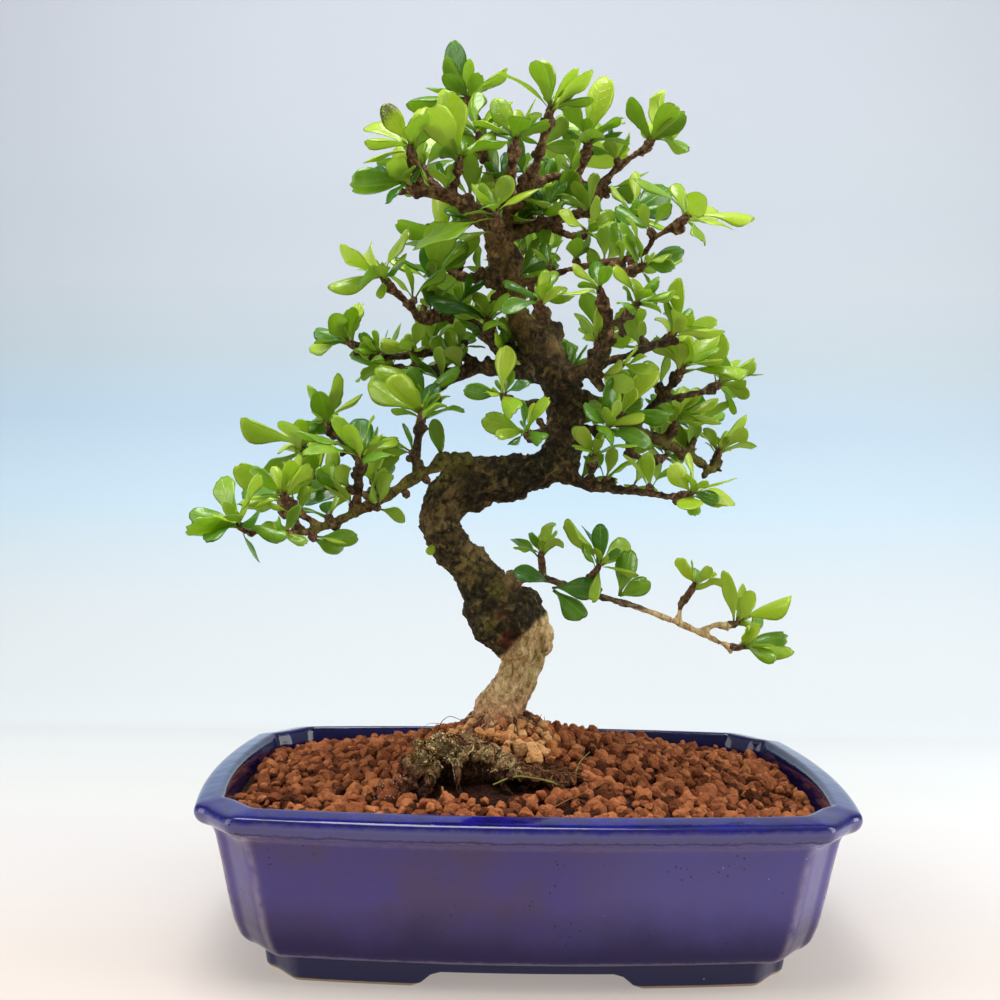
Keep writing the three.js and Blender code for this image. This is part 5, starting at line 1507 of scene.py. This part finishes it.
def leaf_points(foot, along, upper, length, rng, shape=LEAF, slim=1.0):
    """The points of one leaf: a spoon with its own bend, fold, waves and teeth."""
    u, v, lift, column, _, _ = shape
    side = np.cross(upper, along)
    widest = rng.uniform(0.2, 0.27) * slim
    peak = rng.uniform(0.6, 0.71)
    taper = rng.uniform(1.1, 2.2)
    notches = np.where(rng.uniform(size=11) < 0.5, rng.uniform(0.015, 0.06, 11), 0.0)
    notches[[0, 2, 4, 6, 8, 10]] = 0.0
    notches[[1, 7]] *= 0.35
    side_end = peak + (1 - peak) * math.sqrt(1 - END_SHARE ** 2)
    end = peak + (1 - peak) * np.sqrt(1 - (END_SHARE * v) ** 2)
    if shape is LEAF:
        end = end - notches[column]
    reach = u * (1 - (1 - end) * u ** 1.5)
    at_side = u * (1 - (1 - side_end) * u ** 1.5)
    grow = np.clip((at_side - 0.05) / (peak - 0.05), 0, 1)
    beyond = np.clip((at_side - peak) / (1 - peak), 0, 1)
    half = STALK + (widest - STALK) * np.sin(grow * math.pi / 2) ** taper
    half = half * np.sqrt(1 - beyond ** 2)
    lateral = v * half
    fold = rng.uniform(-0.05, 0.3)
    curl = rng.uniform(-0.5, 0.9)
    rise = BLADE_ARCH * rng.uniform(0.6, 1.3) * 4 * reach * (1 - reach)
    rise += fold * (np.sqrt(lateral ** 2 + 0.0009) - 0.03)
    rise -= rng.uniform(0.0, 0.9) * lateral ** 2 / widest
    rise -= curl * 0.35 * np.maximum(reach - 0.5, 0) ** 2
    rise += rng.uniform(0.005, 0.045) * np.sin(u * rng.uniform(5, 10) + rng.uniform(0, 6)) * v
    rise += rng.uniform(-0.25, 0.25) * lateral * reach
    rib = np.exp(-(v / 0.1) ** 2) * (1 - 0.6 * u)
    thick = HALF_THICKNESS * lift - GROOVE * rib * (np.abs(lift) > 0.5)
    points = (foot + np.outer(reach * length, along) + np.outer(lateral * length, side)
              + np.outer(rise * length + thick, upper))
    return np.clip(points, -LIMITS, LIMITS)


class Foliage:
    """Gathers the leaves and the shoots of one limb into one mesh."""

    def __init__(self):
        self.points, self.faces, self.kinds, self.uv = [], [], [], []
        self.marks = {key: [] for key in ('tone', 'spot')}
        self.total = 0

    def take(self, points, faces, kinds, uv, **marks):
        self.faces += [tuple(int(i) + self.total for i in face) for face in faces]
        self.points.append(points)
        self.kinds += kinds
        self.uv.append(uv)
        for key, values in self.marks.items():
            values.append(np.full(len(points), marks.get(key, 0.0)))
        self.total += len(points)

    def leaf(self, points, shape=LEAF, **marks):
        u, v, _, _, top, bottom = shape
        kinds = [0] * len(top) + [1] * len(bottom)
        self.take(points, top + bottom, kinds, np.column_stack([u, v]), **marks)

    def shoot(self, places, radii, rng):
        route = limb_route(np.column_stack([places, radii]), 0.8)
        seed = rng.uniform(0, 40)

        def reach(index, angles):
            ring = np.column_stack([np.cos(angles), np.sin(angles), np.full(len(angles), index * 0.8)])
            return route[index, 3] * (1 + 0.32 * wobble(ring, 0.7, seed))

        points, faces = tube(route, 10, reach)
        self.take(points, faces, [2] * len(faces), np.zeros((len(points), 2)))

    def finish(self, name, materials):
        return new_mesh(name, np.concatenate(self.points), self.faces, uv=np.concatenate(self.uv),
                        attributes={key: np.concatenate(v) for key, v in self.marks.items()},
                        materials=materials, face_material=self.kinds)


# Stretches of bare wood that the front shows, in pixels: both ends and half the width of each
BARE_WOOD = [
    (500, 250, 525, 320, 13), (525, 320, 552, 350, 14), (560, 345, 575, 400, 16), (575, 400, 566, 462, 16),
    (565, 478, 450, 492, 18), (440, 490, 445, 560, 20), (436, 470, 395, 500, 8), (395, 500, 345, 520, 7),
    (345, 520, 305, 528, 6), (356, 470, 358, 512, 6), (418, 428, 418, 482, 6), (535, 275, 640, 262, 7),
    (640, 262, 678, 228, 6), (520, 235, 590, 205, 6), (590, 205, 645, 150, 6), (430, 186, 475, 200, 7),
    (625, 420, 715, 468, 7), (540, 580, 730, 650, 9), (600, 385, 605, 325, 6), (385, 292, 405, 322, 6),
    (440, 370, 505, 378, 7), (380, 350, 420, 360, 5), (540, 130, 545, 175, 6), (508, 160, 512, 200, 9),
    (415, 165, 420, 190, 6), (660, 395, 690, 375, 6), (640, 155, 650, 145, 6),
]
# The last ones lie further back, so leaves far behind the trunk can still hide them
BARE_BEHIND = [(625, 420, 718, 470, 9), (660, 395, 690, 375, 6), (385, 292, 405, 322, 6),
               (440, 370, 505, 378, 7), (590, 205, 650, 145, 6)]
BARE_BACK, BEHIND_BACK = 12, 48
BARE_MARGIN = 5
LOWEST_PITCH = -0.35
HIGHEST_LEAF, WIDEST_LEAF, FRONT_LEAF = 371, 124, -72
ABOVE_SOIL = 6


def hides_wood(marks):
    ends = np.array(BARE_WOOD + BARE_BEHIND, dtype=float)
    back = np.array([BARE_BACK] * len(BARE_WOOD) + [BEHIND_BACK] * len(BARE_BEHIND))
    start, run = ends[:, :2], ends[:, 2:4] - ends[:, :2]
    for spot, mark in zip(seen(marks), marks):
        share = np.clip(((spot - start) * run).sum(axis=1) / (run ** 2).sum(axis=1), 0, 1)
        off = np.linalg.norm(start + run * share[:, None] - spot, axis=1)
        if ((off < ends[:, 4] + BARE_MARGIN) & (mark[1] < back)).any():
            return True
    return False


class Crowd:
    """Keeps new leaves clear of the leaves that are there, of the soil and of the part's limits."""

    def __init__(self, stems):
        self.taken = np.array([b.foot + b.along * b.length * share for stem in stems.values()
                               for b in stem.blades for share in (0.4, 0.65, 0.95)])

    def admits(self, foot, along, length, need):
        marks = [foot + along * length * share for share in (0.65, 0.95)]
        x, y, z = marks[1]
        outside = z > HIGHEST_LEAF or abs(x) > WIDEST_LEAF or y < FRONT_LEAF
        if outside or z < soil_height(x, y) + ABOVE_SOIL or along[2] < LOWEST_PITCH:
            return False
        if length > 6 and hides_wood(marks):
            return False
        if min(np.linalg.norm(self.taken - mark, axis=1).min() for mark in marks) < need:
            return False
        self.taken = np.concatenate([self.taken, np.array(marks)])
        return True


# Kinds of added leaves: how many a shoot gets, lean, length, place along the shoot, room, lightness
KINDS = {
    'bud': (3, (0.2, 0.9), (3, 6), (5.0, 5.4), 0.0, 0.85),
    'young': (2, (0.3, 1.1), (8, 13), (4.0, 5.2), 2.4, 0.72),
    'full': (2, (0.5, 1.5), (14, 21), (1.5, 4.5), 4.4, 0.5),
    'side': (3, (0.3, 1.3), (9, 19), (1.0, 2.6), 4.0, 0.5),
}


def side_light(x):
    """Painted light: how much lighter the leaves are towards both sides of the crown."""
    return 0.13 * smooth(25, 75, -x) + 0.28 * smooth(15, 55, x)


def grow_leaves(spray, crowd, foot, axis, kind, rng):
    count, leans, lengths, bases, need, lightness = KINDS[kind]
    if foot[1] > 5 and kind in ('full', 'side'):
        count += 2
    across = square_to(axis)
    other = np.cross(axis, across)
    placed, start = 0, rng.uniform(0, 6.28)
    for attempt in range(count * 8):
        if placed == count:
            return placed
        turn = start + attempt * GOLDEN_ANGLE + rng.uniform(-0.4, 0.4)
        level = across * math.cos(turn) + other * math.sin(turn)
        lean, length = rng.uniform(*leans), rng.uniform(*lengths)
        along = unit(axis * math.cos(lean) + level * math.sin(lean) + UP * 0.2)
        base = foot + axis * rng.uniform(*bases) + level * 0.8
        above = axis + UP * 0.5 + rng.normal(scale=0.3, size=3)
        upper = unit(above - along * (above @ along))
        if not crowd.admits(base, along, length, need):
            continue
        placed += 1
        shape = BUD if kind == 'bud' else LEAF
        points = leaf_points(base, along, upper, length, rng, shape, 0.8 if kind == 'bud' else 0.97)
        # Painted light: side_light makes leaves towards the crown's sides lighter.
        tone = np.clip(lightness + side_light(base[0]) + rng.normal(scale=0.2), 0.08, 1)
        spray.leaf(points, shape, tone=tone)
    return placed


# Leaves that hang from the low right limb or stand on its spur: foot, tip, tone
LOW_RIGHT_LEAVES = [
    ((9.3, -19, 143.4), (29.2, -26, 144.2), 0.3), ((9.8, -19, 142.6), (23, -24, 131.9), 0.42),
    ((7.6, -20, 145.9), (-6.4, -24, 150.4), 0.3), ((36.4, -22, 140.8), (41.1, -20, 159.8), 0.55),
    ((36.6, -22.5, 140.8), (48.6, -24, 147.3), 0.6),
]
# The shoot's own knob: where it starts, how far it reaches and its radii
KNOB_BACK, KNOB_SECOND, KNOB_REACH = 1.5, 1.7, (2.2, 4.2, 5.6)
KNOB_RADII = (1.9, 2.3, 2.1, 1.6, 0.7)
LOW_SHARE, KNOB_SHARE = 0.68, 0.92

# Limbs that pass in front of the trunk, which keeps them sparse
SPARSE = ('front_low', 'front_high', 'front_middle', 'under_right_twig', 'right_inner')
# How much of its length a leaf keeps in front of the trunk, and before other bare wood
BROAD = ('front_low', 'front_middle')
BROAD_FRONT, SMALL_FRONT = 0.62, 0.72
FADED_LEAF = (382, 112)
STEEP = -0.5
SIDE_START, SIDE_STEP, SIDE_END, SIDE_THICKEST = 11.0, (9, 15), 8, 4.2


def redraw_blades(spray, name, stem, faded, rng):
    """The part's own leaves of one shoot, each with a form, a roll and a tone of its own."""
    mood, low = rng.uniform(-0.12, 0.12), name.startswith('low_right')
    for blade in stem.blades:
        # Painted light: leaves that point upwards are lighter and those that hang are darker.
        tone = np.clip(0.52 + 0.2 * float(blade.along @ UP) + mood + rng.normal(scale=0.24), 0.12, 1)
        along = blade.along
        if along[2] < STEEP and name != 'low_right_middle':
            along = unit(along + UP * (0.9 if name == 'low_right' else 0.35))
        roll = blade.upper + blade.side * rng.normal(scale=0.34)
        if blade is faded:
            roll = vec(0.1, -1, 0.3)
        upper = unit(roll - along * (roll @ along))
        covers = hides_wood([blade.foot + along * blade.length * share for share in (0.55, 0.95)])
        length = blade.length * (BROAD_FRONT if name in BROAD else SMALL_FRONT if covers else 1.0)
        # Painted light: leaves near the top of the crown and towards its sides are lighter.
        tone = np.clip(tone + 0.16 * smooth(325, 365, blade.tip[2]) + side_light(blade.tip[0]), 0.12, 1)
        points = leaf_points(blade.foot, along, upper, length, rng, LEAF, 0.85 if low else 1.0)
        spray.leaf(points, tone=0.8 if blade is faded else tone, spot=float(blade is faded))


def side_shoots(spray, crowd, route, rng):
    """Small leafy shoots along a thin limb."""
    total, run, at = 0, run_along(route)[1:], SIDE_START
    while at < run[-1] - SIDE_END:
        index = int(np.searchsorted(run, at))
        along = unit(route[index + 1, :3] - route[index, :3])
        out = rng.normal(size=3) + UP * 0.7
        out = unit(out - along * (out @ along))
        thick = route[index, 3]
        foot = route[index, :3] + out * thick * 0.7
        if thick < SIDE_THICKEST:
            spray.shoot([foot - out, foot + out * 1.4, foot + out * 3.0], [1.6, 1.8, 0.9], rng)
            total += grow_leaves(spray, crowd, foot, unit(out + UP * 0.3), 'side', rng)
        at += rng.uniform(*SIDE_STEP)
    return total


def hanging_leaf(spray, foot, tip, tone, rng):
    """A leaf between two known places, turned to the front."""
    run = tip - foot
    length = math.sqrt(run @ run)
    facing = vec(0.1, -1, 0.5)
    upper = unit(facing - run * (facing @ run) / length ** 2)
    spray.leaf(leaf_points(foot, run / length, upper, length, rng, LEAF, 1.15), tone=tone)


def make_trunk_bud(materials, rng):
    """One small new leaf on the left edge of the trunk."""
    bud = Foliage()
    along, upper = unit(vec(-0.35, -0.25, -0.55)), unit(vec(-0.3, -1, 0.3))
    upper = unit(upper - along * (upper @ along))
    bud.leaf(leaf_points(vec(-39.2, -1.5, 159.6), along, upper, 5.6, rng, LEAF, 1.5), tone=0.95)
    new_piece('trunk_bud', bud.finish('trunk_bud', materials))


def make_leaves(stems, routes, materials):
    rng = np.random.default_rng(77)
    crowd = Crowd(stems)
    total = 0
    blades = [blade for stem in stems.values() for blade in stem.blades]
    middles = seen([blade.foot + blade.along * blade.length * 0.75 for blade in blades])
    faded = blades[int(np.linalg.norm(middles - np.array(FADED_LEAF), axis=1).argmin())]
    for name, stem in stems.items():
        spray, low = Foliage(), name.startswith('low_right')
        start = stem.foot - stem.limb_along * KNOB_BACK
        knob = [start, start + stem.along * KNOB_SECOND]
        knob += [stem.foot + stem.along * reach for reach in KNOB_REACH]
        spray.shoot(knob, [(LOW_SHARE if low else KNOB_SHARE) * radius for radius in KNOB_RADII], rng)
        redraw_blades(spray, name, stem, faded, rng)
        for kind in ('bud', 'young') if name in SPARSE or low else ('bud', 'young', 'full'):
            total += grow_leaves(spray, crowd, stem.foot, stem.along, kind, rng)
        if name not in SPARSE + ('low_right',):
            total += side_shoots(spray, crowd, routes[name], rng)
        if name == 'low_right':
            for foot, tip, tone in LOW_RIGHT_LEAVES:
                hanging_leaf(spray, vec(*foot), vec(*tip), tone, rng)
        new_piece('leaves_' + name, spray.finish('leaves_' + name, materials), ['spray_' + name])
    make_trunk_bud(materials, rng)
    return total


LEAF_GLOW = 0.45


def leaf_look(name, under):
    look = Look(name)
    cloud, fine = look.noise(5, 3, 0.55), look.noise(0.9, 3, 0.6)
    uv = look.add('ShaderNodeSeparateXYZ', Vector=look.add('ShaderNodeTexCoord').outputs['UV'])
    u, v = uv.outputs[0], uv.outputs[1]
    across = look.sum('ABSOLUTE', v)
    rib = look.span(across, 0.07, 0.015)
    slant = look.minus(look.times(u, 6.5), look.times(across, 1.5))
    beat = look.sum('ABSOLUTE', look.minus(look.sum('FRACT', slant), 0.5))
    vein = look.times(look.span(beat, 0.08, 0.0), look.span(across, 0.9, 0.6))
    mixed = look.plus(look.mark('tone'), look.swing(cloud, 0.35))
    if under:
        colour = look.ramp(mixed, (0.0, '6f9434'), (0.5, '9dba40'), (1.0, 'c6d75a'))
    else:
        colour = look.ramp(mixed, (0.0, '16421a'), (0.25, '34701f'), (0.5, '6a9a20'), (0.72, '9cbe2a'),
                           (1.0, 'c4d83c'))
    pale = look.mix(0.3, colour, 'd8ea88')
    colour = look.mix(look.times(vein, 0.3), colour, pale)
    colour = look.mix(look.times(rib, 0.7), colour, pale)
    spot = look.mark('spot')
    colour = look.mix(look.times(spot, 0.6), colour, 'c4c443')
    colour = look.mix(look.times(spot, look.span(u, 0.62, 0.9), look.span(fine, 0.3, 0.55)), colour, '4a2a12')
    relief = look.plus(look.times(vein, -0.5), look.times(rib, -0.6))
    normal = look.bump(look.plus(relief, look.noise(3, 2, 0.5)), 0.3, 0.7)
    skin = look.surface(colour, 0.5 if under else 0.25, normal, Specular_IOR_Level=0.25 if under else 0.6,
                        Coat_Weight=0.0 if under else 0.24, Coat_Roughness=0.14)
    through = look.add('ShaderNodeBsdfTranslucent', Color=look.mix(0.6, colour, 'bce01c'))
    both = look.add('ShaderNodeMixShader')
    for socket, value in zip(both.inputs, (LEAF_GLOW, skin, through.outputs[0])):
        look.put(socket, value)
    return look.done(both.outputs[0])


def shoot_look():
    look = Look('shoot')
    spots = look.noise(1.4, 4, 0.65)
    colour = look.ramp(spots, (0.3, '24170e'), (0.46, '4d3422'), (0.6, '78583c'), (0.75, 'a08c5c'))
    return look.done(look.surface(colour, 0.8, look.bump(spots, 0.7, 0.9), Specular_IOR_Level=0.25))


def mesh_look():
    look = Look('drain_mesh')
    grain = look.noise(1.5, 3, 0.6)
    colour = look.ramp(grain, (0.3, '17191a'), (0.7, '2c3032'))
    return look.done(look.surface(colour, 0.6, look.bump(grain, 0.1, 0.4)))


# Floor and backdrop in one bent sheet, paler below and bluer above. The floor glows a little, like
# a lit table, which keeps the pot's shadow soft.
FLOOR_GLOW = 1.0
FLOOR_BACK, FLOOR_SIDE, WALL_TOP = 1000, 3000, 2400
BEND = 500


def make_stage():
    look = Look('backdrop')
    parts = look.add('ShaderNodeSeparateXYZ', Vector=look.place)
    side, depth, height = parts.outputs
    cloud = look.noise(400, 2, 0.5)
    wall = look.ramp(look.span(height, 0.0, 0.9), (0.0, 'bec2c4'), (0.08, 'adc1ce'), (0.19, 'a4b8c9'),
                     (0.31, 'abb8c0'), (0.45, 'b5bbc4'), (0.6, 'b6bdc6'), (1.0, 'bdc1cb'))
    ground = look.ramp(look.span(depth, -0.1, 0.5), (0.0, '9a928c'), (0.16, '999593'), (0.38, '979594'),
                       (0.62, '9a9b99'), (0.79, 'a3a5a5'), (0.93, 'aeb1b2'), (1.0, 'bec2c4'))
    colour = look.mix(look.span(height, 0.0, 0.01), ground, wall)
    colour = look.mix(look.times(cloud, 0.04), colour, 'dfe4ea')
    colour = look.mix(look.times(look.span(side, 0.05, 0.6), 0.16), colour, 'e6ecef')
    glow = look.span(depth, 0.5, 0.15, 0.0, FLOOR_GLOW)
    material = look.done(look.surface(colour, 0.9, Specular_IOR_Level=0.1, Emission_Color=colour,
                                      Emission_Strength=glow))
    start = FLOOR_BACK - BEND
    line = [(-1500, 0), (start, 0)]
    for a in np.linspace(0, math.pi / 2, 16):
        line.append((start + BEND * math.sin(a), BEND - BEND * math.cos(a)))
    line.append((FLOOR_BACK, WALL_TOP))
    points = [(x, y, z) for y, z in line for x in (-FLOOR_SIDE, FLOOR_SIDE)]
    faces = [(2 * i, 2 * i + 1, 2 * i + 3, 2 * i + 2) for i in range(len(line) - 1)]
    mesh = new_mesh('backdrop', points, faces, materials=(material,))
    floor = bpy.data.objects.new('backdrop', mesh)
    bpy.context.scene.collection.objects.link(floor)


# The tent grows brighter from the front to the back and from the bottom to the top
TENT_LIGHT = [(1, (-0.7, 0.3, 0.13, 0.62)), (2, (0.1, 0.9, 0.0, 0.45))]
# Lamps: name, place, aim, size, watts and colour
LAMPS = [('top', (-0.15, -0.1, 1.25), (0, 0, 0.2), (0.8, 0.6), 19, (1.0, 0.99, 0.96)),
         ('left', (-1.0, -0.25, 0.5), (0, 0, 0.15), (0.7, 0.9), 6.0, (1.0, 0.98, 0.95)),
         ('right', (1.0, -0.2, 0.55), (0, 0, 0.15), (0.7, 0.9), 10.0, (1.0, 0.99, 0.97))]


def area_light(name, place, aim, size, energy, colour):
    data = bpy.data.lights.new(name, 'AREA')
    data.shape = 'RECTANGLE'
    data.size, data.size_y = size
    data.energy = energy
    data.color = colour
    lamp = bpy.data.objects.new(name, data)
    lamp.location = place
    lamp.rotation_euler = (Vector(aim) - Vector(place)).to_track_quat('-Z', 'Y').to_euler()
    bpy.context.scene.collection.objects.link(lamp)


def make_light():
    world = bpy.data.worlds.new('tent')
    world.use_nodes = True
    tree = world.node_tree
    back = tree.nodes['Background']
    place = tree.nodes.new('ShaderNodeTexCoord').outputs['Generated']
    parts = tree.nodes.new('ShaderNodeSeparateXYZ')
    tree.links.new(place, parts.inputs[0])
    total = tree.nodes.new('ShaderNodeMath')
    for index, (output, settings) in enumerate(TENT_LIGHT):
        part = tree.nodes.new('ShaderNodeMapRange')
        tree.links.new(parts.outputs[output], part.inputs[0])
        for socket, value in zip(part.inputs[1:], settings):
            socket.default_value = value
        tree.links.new(part.outputs[0], total.inputs[index])
    back.inputs['Color'].default_value = (0.88, 0.94, 1.0, 1.0)
    tree.links.new(total.outputs[0], back.inputs['Strength'])
    bpy.context.scene.world = world
    for lamp in LAMPS:
        area_light(*lamp)


SENSOR, LENS = 36, 46.73


def make_camera():
    data = bpy.data.cameras.new('camera')
    data.sensor_width = SENSOR
    data.lens = LENS
    data.clip_start, data.clip_end = 0.02, 20
    camera = bpy.data.objects.new('camera', data)
    right, forward, up = (Vector(column) for column in CAMERA_TURN.T)
    pose = Matrix((right, up, -forward)).transposed().to_4x4()
    pose.translation = Vector(CAMERA_PLACE) * MM
    camera.matrix_world = pose
    bpy.context.scene.collection.objects.link(camera)
    bpy.context.scene.camera = camera


bpy.context.scene.view_settings.view_transform = 'Standard'
make_stage()
make_light()
make_camera()
make_pot(glaze_look())
granules = soil_look()
make_soil_bed(granules)
make_granules(granules)
routes = {name: limb_route(points) for name, points in LIMBS.items()}
bark = bark_look()
make_wood(bark, routes)
moss = moss_look()
make_root_mass(root_look(), moss)
stems = recover_blades()
found = sum(len(stem.blades) for stem in stems.values())
print('leaves found:', found)
added = make_leaves(stems, routes, (leaf_look('leaf', False), leaf_look('leaf_under', True), shoot_look()))
print('leaves added:', added)
make_litter(moss, fibre_look(), crystal_look())
plastic = mesh_look()
for name in ('drain_mesh_left', 'drain_mesh_right'):
    nodes[name].data.materials.clear()
    nodes[name].data.materials.append(plastic)
